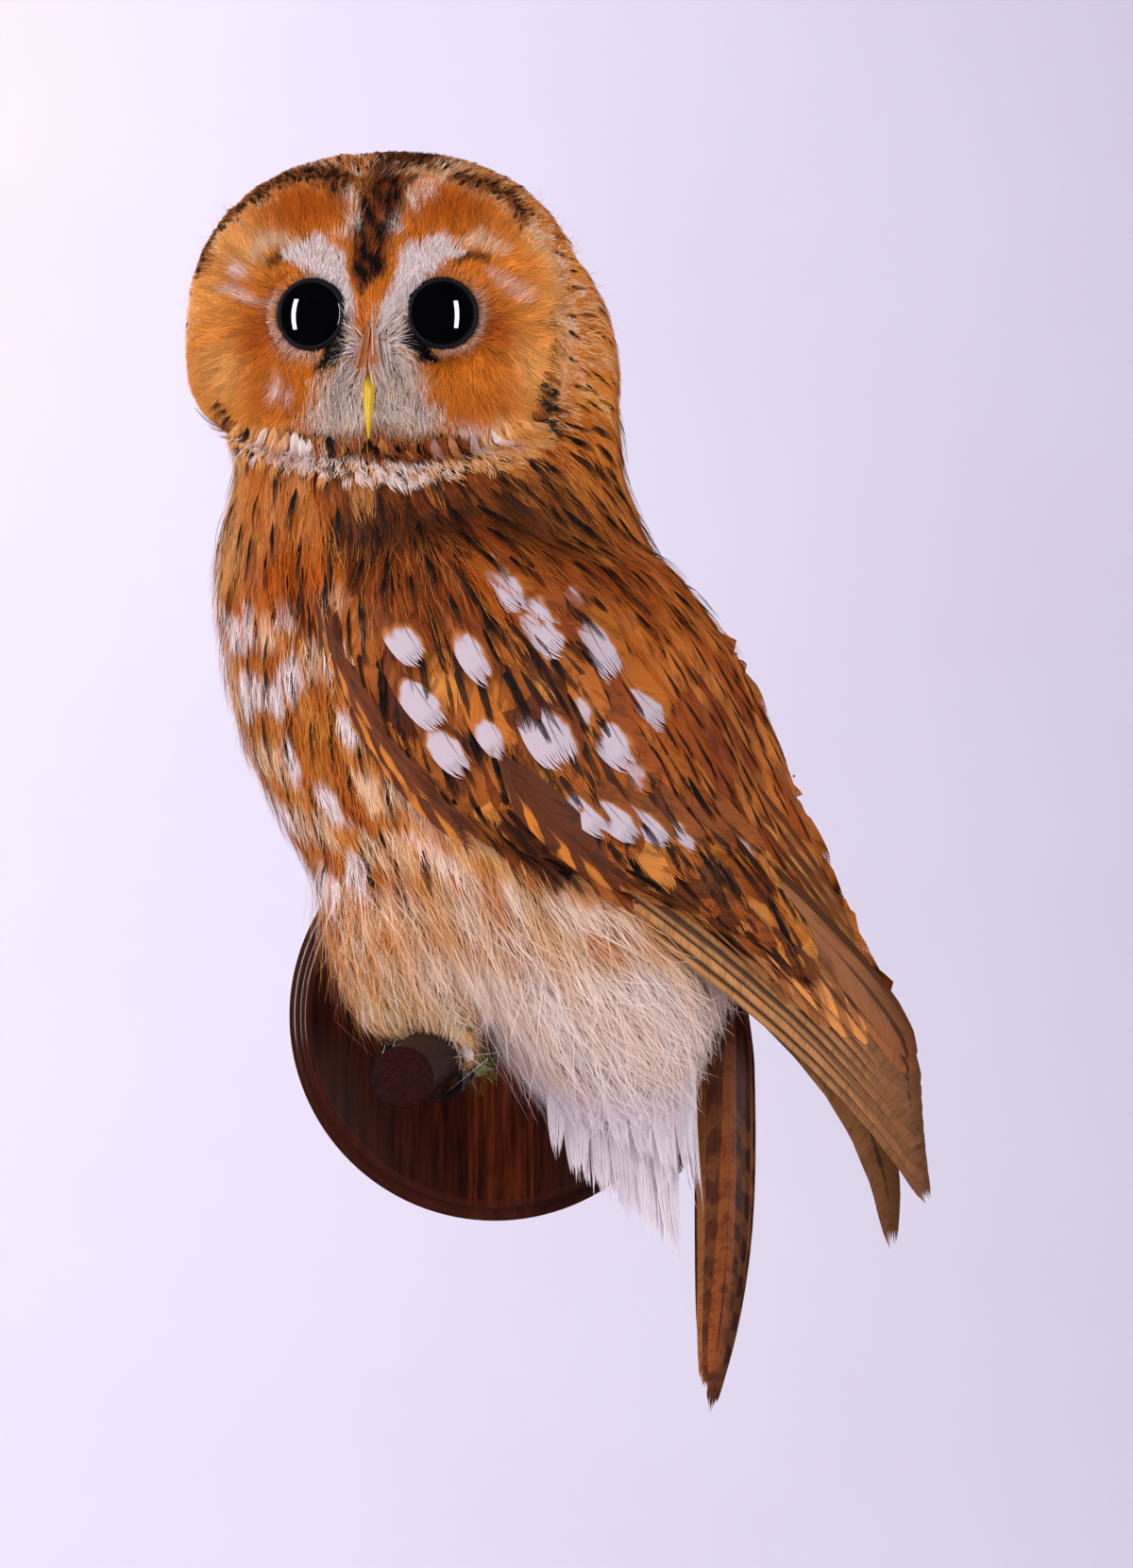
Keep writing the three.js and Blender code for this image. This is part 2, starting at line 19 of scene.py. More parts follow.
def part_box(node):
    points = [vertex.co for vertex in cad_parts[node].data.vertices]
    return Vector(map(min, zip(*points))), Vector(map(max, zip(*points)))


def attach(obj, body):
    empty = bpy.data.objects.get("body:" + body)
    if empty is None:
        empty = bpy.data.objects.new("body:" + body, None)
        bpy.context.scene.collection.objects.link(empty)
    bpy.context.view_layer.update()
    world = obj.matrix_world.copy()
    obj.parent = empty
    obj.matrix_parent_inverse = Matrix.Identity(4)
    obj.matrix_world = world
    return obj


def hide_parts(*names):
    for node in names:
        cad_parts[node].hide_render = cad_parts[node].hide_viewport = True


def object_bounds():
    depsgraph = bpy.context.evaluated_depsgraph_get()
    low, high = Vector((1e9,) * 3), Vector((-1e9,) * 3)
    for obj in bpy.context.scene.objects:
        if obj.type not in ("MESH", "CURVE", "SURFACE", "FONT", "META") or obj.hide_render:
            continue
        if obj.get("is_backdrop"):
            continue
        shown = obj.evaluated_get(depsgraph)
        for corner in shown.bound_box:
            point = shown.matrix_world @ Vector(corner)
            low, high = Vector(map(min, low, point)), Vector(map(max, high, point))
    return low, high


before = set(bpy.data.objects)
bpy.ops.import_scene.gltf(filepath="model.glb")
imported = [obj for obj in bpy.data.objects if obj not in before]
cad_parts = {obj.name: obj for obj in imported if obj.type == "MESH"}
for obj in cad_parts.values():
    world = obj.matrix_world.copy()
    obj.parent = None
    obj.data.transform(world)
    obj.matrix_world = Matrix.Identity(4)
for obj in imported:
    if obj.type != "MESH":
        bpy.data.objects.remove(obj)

cad_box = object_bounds()
MM = 0.001
print("frame:", len(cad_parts), "nodes, box", [round(v, 3) for v in cad_box[1] - cad_box[0]])

# %% [markdown]
# Shader maths reads best as plain arithmetic. A small class wraps a socket, so that
# `1 - mask * 0.5` adds the Math nodes by itself, and one method adds any other node.
# Numbers that never change over a surface are set straight on the shader.

# %% Shader arithmetic and the one way to add a node
def operator(operation, swapped=False):
    """A method that adds one Math node, its two terms swapped for the reflected forms."""
    def apply(self, *other):
        terms = (*other, self) if swapped else (self, *other)
        return self.finish.node("ShaderNodeMath", {"operation": operation}, dict(enumerate(terms)))
    return apply


class Wire:
    """A socket's output that can be used in arithmetic."""

    def __init__(self, finish, socket):
        self.finish = finish
        self.socket = socket

    __add__ = __radd__ = operator("ADD")
    __mul__ = __rmul__ = operator("MULTIPLY")
    __sub__ = operator("SUBTRACT")
    __rsub__ = operator("SUBTRACT", swapped=True)
    __pow__ = operator("POWER")
    wave = operator("SINE")
    size = operator("ABSOLUTE")

    def between(self, low, high):
        """0 below low, 1 above high and a soft step between them."""
        step = {"interpolation_type": "SMOOTHSTEP"}
        return self.finish.node("ShaderNodeMapRange", step, {"Value": self, 1: low, 2: high})


class Finish:
    """One material: its shader, and the methods that add nodes to it."""

    def __init__(self, name, **constants):
        self.material = bpy.data.materials.new(name)
        self.material.use_nodes = True
        self.tree = self.material.node_tree
        self.shader = self.tree.nodes["Principled BSDF"]
        for socket, value in constants.items():
            self.shader.inputs[socket.replace("_", " ")].default_value = value

    def node(self, kind, settings=None, sockets=None, output=0):
        made = self.tree.nodes.new(kind)
        for key, value in (settings or {}).items():
            setattr(made, key, value)
        for key, value in (sockets or {}).items():
            if isinstance(value, Wire):
                self.tree.links.new(value.socket, made.inputs[key])
            else:
                made.inputs[key].default_value = value
        return Wire(self, made.outputs[output])

    def feed(self, **sockets):
        for socket, wire in sockets.items():
            self.tree.links.new(wire.socket, self.shader.inputs[socket.replace("_", " ")])

    def mix(self, first, second, share):
        sockets = {0: share, 6: first, 7: second}
        return self.node("ShaderNodeMix", {"data_type": "RGBA"}, sockets, output=2)

    def place(self):
        return self.node("ShaderNodeTexCoord", output="Object")

    def noise(self, vector, scale, detail=3.0, roughness=0.55):
        sockets = {"Vector": vector, "Scale": scale, "Detail": detail, "Roughness": roughness}
        return self.node("ShaderNodeTexNoise", None, sockets)

    def mapped(self, vector, scale):
        return self.node("ShaderNodeMapping", None, {"Vector": vector, "Scale": scale})

    def joined(self, *parts):
        return self.node("ShaderNodeCombineXYZ", None, dict(enumerate(parts)))

    def attribute(self, name, output="Color"):
        return self.node("ShaderNodeAttribute", {"attribute_name": name}, output=output)

    def split(self, vector):
        made = self.node("ShaderNodeSeparateXYZ", None, {0: vector})
        return [Wire(self, socket) for socket in made.socket.node.outputs]

    def bump(self, height, strength, distance):
        sockets = {"Height": height, "Strength": strength, "Distance": distance}
        self.feed(Normal=self.node("ShaderNodeBump", None, sockets))


def tint(code):
    """A colour as a painter names it, such as "C8702A", as linear red, green, blue, alpha."""
    shares = [int(code[i:i + 2], 16) / 255 for i in (0, 2, 4)]
    linear = [s / 12.92 if s <= 0.04045 else ((s + 0.055) / 1.055) ** 2.4 for s in shares]
    return (*linear, 1.0)


print("white is", tint("FFFFFF"), "and a mid grey", [round(v, 2) for v in tint("808080")])

# %% [markdown]
# Every piece is finished the same way: its bmesh becomes a mesh object at the origin,
# shaded smooth, with its material, riding on the model's one body.

# %% Turn a bmesh into a finished piece
def placed(name, data):
    """A new object of the scene, at the origin."""
    made = bpy.data.objects.new(name, data)
    bpy.context.scene.collection.objects.link(made)
    return made


def mesh_from(name, shape):
    mesh = bpy.data.meshes.new(name)
    shape.to_mesh(mesh)
    shape.free()
    return mesh


def dress(piece, finish, slot, *stands_for):
    piece.data.materials.clear()
    piece.data.materials.append(finish.material)
    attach(piece, "root")
    if stands_for:
        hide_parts(*stands_for)
    return piece


def piece_from(name, shape, finish, slot, *stands_for):
    bmesh.ops.remove_doubles(shape, verts=shape.verts, dist=1e-6)
    bmesh.ops.recalc_face_normals(shape, faces=shape.faces)
    for face in shape.faces:
        face.smooth = True
    piece = placed(name, mesh_from(name, shape))
    print(name, len(piece.data.polygons), "faces")
    return dress(piece, finish, slot, *stands_for)


# %% [markdown]
# The stage is a pale sweep of paper: a floor that curves up into a backdrop, far enough
# behind to leave room for a camera at the plaque's back. Two tall, narrow soft boxes
# stand left and right of the camera. They light the plumage from both sides and give
# each glass eye its upright highlight.

# %% Camera and sweep
stage = bpy.context.scene
camera = placed("camera", bpy.data.cameras.new("camera"))
camera.data.lens = 95.6
camera.location = (0.024, -1.4, 0.0774)
camera.rotation_euler = (math.radians(90), 0, 0)
stage.camera = camera
stage.view_settings.view_transform = "Standard"

paper = Finish("pale_paper", Roughness=0.95)
paper.feed(Base_Color=paper.mix(tint("EEEBF4"), tint("E8E4F0"), paper.noise(paper.place(), 3.0)))

FLOOR = -0.8
SWEEP_REACH = 6
SWEEP_CURVE = 1.2
sweep = bmesh.new()
bmesh.ops.create_grid(sweep, x_segments=1, y_segments=1, size=SWEEP_REACH,
                      matrix=Matrix.Translation((0, -2.6, FLOOR)))
back_edge = max(sweep.edges, key=lambda edge: sum(v.co.y for v in edge.verts))
raised = bmesh.ops.extrude_edge_only(sweep, edges=[back_edge])["geom"]
raised_corners = [v for v in raised if isinstance(v, bmesh.types.BMVert)]
bmesh.ops.translate(sweep, vec=(0, 0, SWEEP_REACH), verts=raised_corners)
bmesh.ops.bevel(sweep, geom=[back_edge], offset=SWEEP_CURVE, segments=12, profile=0.5,
                affect="EDGES", material=-1)
backdrop = placed("sweep", mesh_from("sweep", sweep))
backdrop.data.shade_smooth()
backdrop.data.materials.append(paper.material)
backdrop.visible_glossy = False
backdrop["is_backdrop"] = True
print("sweep:", len(backdrop.data.polygons), "faces")

# %% [markdown]
# Only the two strips may shine in the glass: the wide fills and the lamp on the paper are
# hidden from reflections, as a stage hand would screen them off.

# %% Lights
OWL_MIDDLE = Vector((0.0, -0.09, 0.09))
PAPER_MIDDLE = Vector((-0.7, 3.4, 0.6))
WARM = (1.0, 0.98, 0.98)
LAVENDER = (0.97, 0.93, 1.0)


def soft_box(name, place, width, height, power, colour, aim=OWL_MIDDLE, glossy=True):
    lamp = bpy.data.lights.new(name, "AREA")
    lamp.shape = "RECTANGLE"
    lamp.size = width
    lamp.size_y = height
    lamp.energy = power
    lamp.color = colour
    box = placed(name, lamp)
    box.location = place
    box.rotation_euler = (aim - Vector(place)).to_track_quat("-Z", "Y").to_euler()
    box.visible_glossy = glossy


soft_box("strip_left", (-1.35, -0.86, 0.36), 0.22, 1.25, 14, WARM)
soft_box("strip_right", (0.89, -1.32, 0.30), 0.20, 1.25, 13, WARM)
soft_box("fill_front", (-0.9, -1.9, 1.0), 1.4, 1.4, 9.0, LAVENDER, glossy=False)
soft_box("fill_back", (1.4, 1.6, 1.5), 1.4, 1.4, 14, LAVENDER, glossy=False)
soft_box("sweep_light", (-2.2, 0.8, 1.6), 1.6, 1.6, 92, LAVENDER, PAPER_MIDDLE, glossy=False)

sky = bpy.data.worlds.new("studio")
sky.use_nodes = True
sky.node_tree.nodes["Background"].inputs["Color"].default_value = tint("E2DAF0")
sky.node_tree.nodes["Background"].inputs["Strength"].default_value = 0.28
sky.cycles_visibility.glossy = False
stage.world = sky
print("lights:", len(bpy.data.lights), "lens", camera.data.lens, "mm")

# %% [markdown]
# The plaque is a turned disc of stained mahogany: a flat field inside a moulded rim.
# Turning is a spin of one profile round the axis, with the rim's hollow and bead as
# arcs. The grain runs upright in boards of slightly different tone, so the stain is
# painted by a noise stretched along z, broken into boards by the rounded x.

# %% The plaque
FIELD_RADIUS = 0.0600
BEAD = 0.0026
plaque_low, plaque_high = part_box("plaque")
RIM_RADIUS = (plaque_high.x - plaque_low.x) / 2
DEPTH = plaque_high.y - plaque_low.y
FIELD_DEPTH = DEPTH - 0.0006


def arc(centre, radius, start, end, steps):
    """Points of an arc, in degrees, as (radius from the axis, height off the wall)."""
    turns = np.radians(np.linspace(start, end, steps))
    return [(centre[0] + radius * math.cos(t), centre[1] + radius * math.sin(t)) for t in turns]


def turned(profile, steps=128):
    """A closed solid of revolution round the y axis, standing off the wall at y = 0."""
    shape = bmesh.new()
    points = [shape.verts.new((out, -height, 0)) for out, height in profile]
    edges = [shape.edges.new(pair) for pair in zip(points, points[1:])]
    bmesh.ops.spin(shape, geom=points + edges, cent=(0, 0, 0), axis=(0, 1, 0),
                   angle=2 * math.pi, steps=steps, use_merge=True)
    return shape


profile = [(0.0, 0.0), (RIM_RADIUS - 0.001, 0.0)]
profile += arc((RIM_RADIUS - 0.001, 0.001), 0.001, -90, 0, 4)
profile += arc((RIM_RADIUS - 0.0035, 0.0085), 0.0035, 0, 100, 9)
profile += arc((RIM_RADIUS - 0.0042 - BEAD, 0.0128), BEAD, -10, 110, 9)
profile += arc((FIELD_RADIUS + 0.0022, DEPTH - 0.0012), 0.0012, 0, 90, 4)
profile += [(FIELD_RADIUS + 0.0008, DEPTH), (FIELD_RADIUS, FIELD_DEPTH),
            (FIELD_RADIUS * 0.5, FIELD_DEPTH), (0.0, FIELD_DEPTH)]

wood = Finish("mahogany", Roughness=0.32, Coat_Roughness=0.12, Specular_IOR_Level=0.15)
at = wood.place()
board = wood.node("ShaderNodeMath", {"operation": "FLOOR"}, {0: wood.split(at)[0] * 46 + 0.4})
board_tone = wood.node("ShaderNodeTexWhiteNoise", {"noise_dimensions": "1D"}, {"W": board})
grain = wood.noise(wood.mapped(at, (1.0, 0.5, 0.07)), 620, 5, 0.6)
figure = wood.noise(wood.mapped(at, (1.0, 0.6, 0.12)), 90, 3, 0.6)
from_axis = wood.node("ShaderNodeVectorMath", {"operation": "LENGTH"},
                      {0: wood.mapped(at, (1, 0, 1))}, output=1)
rim = from_axis.between(FIELD_RADIUS + 0.0002, FIELD_RADIUS + 0.0012)
stain = wood.mix(tint("2A0A02"), tint("6A2A08"), grain.between(0.3, 0.72))
stain = wood.mix(stain, tint("8A3C10"), figure.between(0.45, 0.8) * board_tone * 0.9)
stain = wood.mix(stain, tint("180501"), (1 - board_tone).between(0.35, 1.0) * 0.75)
stain = wood.mix(stain, tint("4A1E10"), rim * 0.55)
wood.feed(Base_Color=stain, Coat_Weight=0.25 + rim * 0.45, Roughness=0.34 + grain * 0.16)
wood.bump(grain + figure * 0.4, 0.16, 0.0004)
piece_from("plaque_turned", turned(profile), wood, "plaque_wood", "plaque")

# %% [markdown]
# The peg is a cut length of branch, stained dark, that stands out of the plaque and up
# through the owl's grip. Its front end shows rough reddish end grain. A cylinder with
# rings along it is pushed in and out by a few slow waves, and the cut end is inset and
# roughened.

# %% The peg
peg_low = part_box("perch_peg")[0]
PEG_RADIUS = 0.0093
PEG_BACK = Vector((-0.001, -0.012, 0.0))
PEG_FRONT = Vector((-0.0256, peg_low.y + 0.0006, -0.0108))
LUMPINESS = 0.012
peg_length = (PEG_FRONT - PEG_BACK).length
peg_turn = (PEG_FRONT - PEG_BACK).normalized().to_track_quat("Z", "Y").to_matrix().to_4x4()
peg = bmesh.new()
bmesh.ops.create_cone(peg, cap_ends=True, segments=40, radius1=PEG_RADIUS, radius2=PEG_RADIUS,
                      depth=peg_length, matrix=Matrix.Translation((0, 0, peg_length / 2)))
sides = [e for e in peg.edges if abs(e.verts[0].co.z - e.verts[1].co.z) > peg_length / 2]
bmesh.ops.subdivide_edges(peg, edges=sides, cuts=30, use_grid_fill=False)
ends = [f for f in peg.faces if len(f.verts) > 4]
for inset in (0.0009, 0.002, 0.002, 0.002):
    bmesh.ops.inset_region(peg, faces=ends, thickness=inset, depth=0.00008)
for v in peg.verts:
    angle = math.atan2(v.co.y, v.co.x)
    lumps = math.sin(3 * angle + v.co.z * 60) + 0.6 * math.sin(7 * angle - v.co.z * 130)
    v.co.x *= 1 + LUMPINESS * lumps
    v.co.y *= 1 + LUMPINESS * lumps
rims = [e for e in peg.edges if e.calc_face_angle(0) > 1.0]
bmesh.ops.bevel(peg, geom=rims, offset=0.0008, segments=3, profile=0.5, affect="EDGES", material=-1)
bmesh.ops.transform(peg, matrix=Matrix.Translation(PEG_BACK) @ peg_turn, verts=peg.verts)

stick = Finish("dark_stick", Roughness=0.6, Specular_IOR_Level=0.1)
at = stick.place()
bark = stick.noise(stick.mapped(at, (1, 0.12, 1)), 420, 5, 0.65)
pores = stick.noise(at, 1500, 4, 0.7)
bark_colour = stick.mix(tint("150908"), tint("341C16"), bark.between(0.35, 0.7))
end_face = (0 - stick.split(at)[1]).between(-peg_low.y - 0.0022, -peg_low.y - 0.0012)
end_colour = stick.mix(tint("1C0A08"), tint("41180F"), pores.between(0.3, 0.8))
stick.feed(Base_Color=stick.mix(bark_colour, end_colour, end_face), Roughness=0.5 + end_face * 0.35)
stick.bump(bark * 0.6 + pores * (0.3 + end_face * 1.4), 0.6, 0.0006)
piece_from("peg_stick", peg, stick, "peg_wood", "perch_peg")

# %% [markdown]
# The face is turned a little aside. Its own directions, right, up and forward, come from
# the two eyes' solids, and the point halfway between the eyes is its origin.

# %% Where the face is
def middle(node):
    low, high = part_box(node)
    return np.array((low + high) / 2)


def unit(v):
    return v / np.maximum(np.linalg.norm(v, axis=-1, keepdims=True), 1e-12)


apart = middle("eye_left") - middle("eye_right")
UP = np.array([0.0, 0.0, 1.0])
RIGHT = unit(apart * (1, 1, 0))
FORWARD = np.array([RIGHT[1], -RIGHT[0], 0.0])
FACE = (middle("eye_left") + middle("eye_right")) / 2
EYE_SPREAD = np.linalg.norm(apart) / 2 / MM
print("eyes", round(2 * EYE_SPREAD, 1), "mm apart")

# %% [markdown]
# The owl's eyes are glass: a black lens set in a dark lid. A real cornea is flatter than
# the ball behind it and each eye looks a little outwards, which is why each one catches
# only the light on its own side. A lens is an arc spun round the eye's own axis.

# %% Glass eyes and their lids
LENS_RADIUS = 0.0098
LENS_CURVE = 0.0200
OUTWARD = 11


def eye_frame(side):
    """A matrix whose +y axis points back into the head along the eye's own axis."""
    outward = math.radians(OUTWARD) * side
    look = Vector(FORWARD * math.cos(outward) + RIGHT * math.sin(outward))
    centre = Vector(FACE + RIGHT * side * EYE_SPREAD * MM + FORWARD * 0.0058)
    turn = (-look).to_track_quat("Y", "Z").to_matrix().to_4x4()
    return Matrix.Translation(centre) @ turn


glass = Finish("eye_glass", Roughness=0.03, IOR=1.8)
depths = glass.noise(glass.place(), 900, 2)
glass.feed(Base_Color=glass.mix(tint("020203"), tint("07080B"), depths))
lid_skin = Finish("lid_skin", Roughness=0.62, Specular_IOR_Level=0.25)
wrinkle = lid_skin.noise(lid_skin.place(), 2600, 3)
lid_skin.feed(Base_Color=lid_skin.mix(tint("05050A"), tint("1B1A24"), wrinkle.between(0.4, 0.75)))
lid_skin.bump(wrinkle, 0.4, 0.0002)

half_angle = math.degrees(math.asin(LENS_RADIUS / LENS_CURVE))
lens_profile = [(r, h - LENS_CURVE * math.cos(math.radians(half_angle)))
                for r, h in arc((0, 0), LENS_CURVE, 90, 90 - half_angle, 14)]
lens_profile += [(LENS_RADIUS * 0.98, -0.001), (LENS_RADIUS * 0.8, -0.004), (0.0, -0.006)]
lid_profile = arc((LENS_RADIUS + 0.0002, 0.0001), 0.0005, 200, 10, 9)
lid_profile += arc((LENS_RADIUS + 0.0009, -0.0007), 0.0004, 130, -10, 6)
lid_profile += [(LENS_RADIUS + 0.0016, -0.0018), (LENS_RADIUS + 0.0008, -0.0024), lid_profile[0]]
for side, name in ((1, "left"), (-1, "right")):
    for kind, profile, finish, stands_for in (("lens", lens_profile, glass, ["eye_" + name]),
                                              ("lid", lid_profile, lid_skin, [])):
        shape = turned(profile, steps=72)
        bmesh.ops.transform(shape, matrix=eye_frame(side), verts=shape.verts)
        piece_from("eye_" + kind + "_" + name, shape, finish, "eye", *stands_for)

# %% [markdown]
# Bill and claws are horn. Their solids already have the true curve, so a copy of each is
# merged, gets a subdivision surface for its fine shape, and a horn finish: the bill runs
# from olive at its root to clear yellow, the claws are almost black and glossy.

# %% Bill and claws
def refined(name, node, finish, slot, levels=2, slim=0.0):
    """A fine copy of a solid. Slim draws it in towards its own middle, from side to side."""
    shape = bmesh.new()
    shape.from_mesh(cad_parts[node].data)
    centre = middle(node) @ RIGHT
    for v in shape.verts if slim else ():
        v.co -= Vector(RIGHT) * (float(np.array(v.co) @ RIGHT) - centre) * slim
    piece = piece_from(name, shape, finish, slot, node)
    smooth = piece.modifiers.new("fine", "SUBSURF")
    smooth.levels = levels
    smooth.render_levels = levels
    return piece


bill_horn = Finish("bill_horn", Roughness=0.34, Subsurface_Weight=0.15,
                   Subsurface_Radius=(0.002, 0.0014, 0.0004), Coat_Weight=0.3)
at = bill_horn.place()
grow = bill_horn.noise(bill_horn.mapped(at, (1, 1, 0.12)), 900, 3)
bill_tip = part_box("bill_upper")[0].z
height = bill_horn.split(at)[2].between(bill_tip + 0.014, bill_tip + 0.022)
horn = bill_horn.mix(tint("DDB416"), tint("7A5622"), height)
bill_horn.feed(Base_Color=bill_horn.mix(horn, tint("8A7410"), grow.between(0.45, 0.8) * 0.5))
bill_horn.bump(grow, 0.15, 0.0003)
refined("bill_upper_horn", "bill_upper", bill_horn, "bill", slim=0.4)
refined("bill_lower_horn", "bill_lower", bill_horn, "bill", slim=0.6)

claw_horn = Finish("claw_horn", Roughness=0.22, Coat_Weight=0.4)
cloud = claw_horn.noise(claw_horn.place(), 500, 3)
claw_horn.feed(Base_Color=claw_horn.mix(tint("060607"), tint("241E1B"), cloud))
for name in sorted(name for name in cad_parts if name.startswith("claw_")):
    refined(name + "_horn", name, claw_horn, "claw")

# %% [markdown]
# ## The skin
#
# One skin replaces every solid of flesh, so that no seam shows where head, neck, trunk,
# wings and legs meet. The solids are pushed out by a hair to close the gaps between them
# and fused by a voxel remesh.

# %% Fuse the solids of flesh
FLESH = ["head", "neck", "trunk", "wing_left", "wing_right", "leg_left", "leg_right",
         "foot_left", "foot_right"]
VOXEL = 0.0017
HAIR_GAP = 0.00025
shell = bmesh.new()
for name in FLESH:
    shell.from_mesh(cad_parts[name].data)
bmesh.ops.remove_doubles(shell, verts=shell.verts, dist=1e-6)
shell.normal_update()
for v in shell.verts:
    v.co += v.normal * HAIR_GAP
fused = placed("fused", mesh_from("shell", shell))
remesh = fused.modifiers.new("fuse", "REMESH")
remesh.mode = "VOXEL"
remesh.voxel_size = VOXEL
evaluated = fused.evaluated_get(bpy.context.evaluated_depsgraph_get())
skin_mesh = bpy.data.meshes.new_from_object(evaluated)
bpy.data.objects.remove(fused)
print("fused skin:", len(skin_mesh.polygons), "faces")

# %% [markdown]
# From here on the skin is worked as arrays, one row for each point. A few small functions
# serve for everything that follows: averages over neighbours, soft steps, soft hills and
# ribbons on the face, and the face's own coordinates in millimetres.

# %% Tools for places and masks
def numbers(collection, key, width, kind=np.float64):
    flat = np.zeros(len(collection) * width, np.float32 if kind is np.float64 else np.int32)
    collection.foreach_get(key, flat)
    return flat.astype(kind).reshape(-1, width) if width > 1 else flat.astype(kind)


def spread(values, edges, rounds):
    """Each vertex's value averaged with its neighbours', several times over."""
    count = np.bincount(edges.ravel(), minlength=len(values))[:, None]
    for _ in range(rounds):
        near = np.zeros_like(values)
        for k in range(values.shape[1]):
            near[:, k] = (np.bincount(edges[:, 0], values[edges[:, 1], k], len(values))
                          + np.bincount(edges[:, 1], values[edges[:, 0], k], len(values)))
        values = 0.5 * values + 0.5 * near / np.maximum(count, 1)
    return values


def tree_over(places, faces):
    return BVHTree.FromPolygons([Vector(place) for place in places], faces)


def tree_of(mesh):
    return tree_over(numbers(mesh.vertices, "co", 3), [tuple(p.vertices) for p in mesh.polygons])


def face_coordinates(points):
    """Right, up and forward of the point between the eyes, in millimetres."""
    away = (points - FACE) / MM
    return away @ RIGHT, away @ UP, away @ FORWARD


DISC_MIDDLE = (-1.0, -14.0)
DISC_HALF_WIDTH = 57.5
DISC_ABOVE = 57.0
DISC_BELOW = 29.5


def disc_share(right, up):
    """0 at the middle of the facial disc, 1 at its rim."""
    across = np.abs(right - DISC_MIDDLE[0]) / DISC_HALF_WIDTH
    rise = up - DISC_MIDDLE[1]
    height = np.abs(rise) / np.where(rise > 0, DISC_ABOVE, DISC_BELOW)
    return (across ** 2.2 + height ** 2.6) ** (1 / 2.4)


def step(value, low, high):
    t = np.clip((value - low) / (high - low), 0, 1)
    return t * t * (3 - 2 * t)


def hill(x, y, cx, cy, rx, ry):
    """A soft hill of height 1 round cx, cy, of half widths rx and ry."""
    u = (x - cx) / rx
    v = (y - cy) / ry
    return np.exp(-(u * u + v * v))


def ribbon(x, y, path, soft=0.4):
    """1 along a path of (x, y, half width), fading out over its edges."""
    best = np.zeros(len(x))
    for (x0, y0, w0), (x1, y1, w1) in zip(path, path[1:]):
        dx, dy = x1 - x0, y1 - y0
        t = np.clip(((x - x0) * dx + (y - y0) * dy) / (dx * dx + dy * dy), 0, 1)
        gap = np.hypot(x - x0 - t * dx, y - y0 - t * dy) / (w0 + (w1 - w0) * t)
        best = np.maximum(best, 1 - step(gap, 1 - soft, 1 + soft))
    return best


MID_Y = (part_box("trunk")[0].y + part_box("trunk")[1].y) / 2
edges = numbers(skin_mesh.edges, "vertices", 2, np.int64)
quads = numbers(skin_mesh.loops, "vertex_index", 1, np.int64).reshape(-1, 4)
skin_co = spread(numbers(skin_mesh.vertices, "co", 3), edges, 5)
trees = [tree_of(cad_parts[name].data) for name in FLESH]
gaps = np.array([[tree.find_nearest(Vector(p))[3] for tree in trees] for p in skin_co])
part = np.argmin(gaps, axis=1)


def is_part(*names):
    """1 where a point of the skin came from one of these solids."""
    return np.isin(part, [FLESH.index(n) for n in names]).astype(float)


print("points from each solid:", dict(zip(FLESH, np.bincount(part).tolist())))

# %% [markdown]
# The skin is drawn in by the depth of the coat that will lie on top: a few millimetres on
# the body, little on the face and the wings, and never more than a thin limb can give.
# Round each glass eye it is pressed into a shallow seat for the lid.

# %% Draw the skin in by the depth of the coat
def put(co):
    """Moves the skin's points there and gives the new normals."""
    skin_mesh.vertices.foreach_set("co", co.astype(np.float32).ravel())
    skin_mesh.update()
    return numbers(skin_mesh.vertex_normals, "vector", 3)


skin_normal = unit(spread(put(skin_co), edges, 2))
solid = tree_over(skin_co, quads.tolist())
right, up, forward = face_coordinates(skin_co)
x, y, z = (skin_co / MM).T
on_face = step(forward, -6, 4) * (1 - step(disc_share(right, up), 0.97, 1.05)) * is_part("head")
coat = 4.6 * is_part("trunk", "neck") + 2.6 * is_part("head")
coat += 1.4 * is_part("wing_left", "wing_right")
coat += 5 * is_part("trunk") * (1 - step(z, -34, -6))
coat += 7 * is_part("trunk") * step(x, 44, 70) * (1 - step(z, 0, 24))
coat += 2.2 * is_part("leg_left", "leg_right") + 0.8 * is_part("foot_left", "foot_right")
coat = spread(np.column_stack([coat, on_face]), edges, 14)
on_face = coat[:, 1]
coat = coat[:, 0] * (1 - on_face) + 1.6 * on_face
through = np.full(len(skin_co), 99.0)
for i, (p, n) in enumerate(zip(skin_co, skin_normal)):
    inward = Vector(-n)
    reached = solid.ray_cast(Vector(p) + inward * 0.0004, inward, 0.03)[3]
    if reached is not None:
        through[i] = reached / MM
coat = spread(np.minimum(coat, 0.3 * through)[:, None], edges, 4)[:, 0]
skin_co = spread(skin_co - skin_normal * coat[:, None] * MM, edges, 2)
# the skin's end under the tail is flattened, because only soft coverts hang there
VENT = -30 * MM
skin_co[:, 2] -= 0.7 * np.minimum(skin_co[:, 2] - VENT, 0)


def moved(points, matrix):
    """Points carried by a 4 x 4 matrix."""
    matrix = np.array(matrix)
    return points @ matrix[:3, :3].T + matrix[:3, 3]


def round_the_lens(points, side):
    """Places in an eye's own frame, and how far they are from its axis."""
    local = moved(points, eye_frame(side).inverted())
    return local, np.hypot(local[:, 0], local[:, 2])


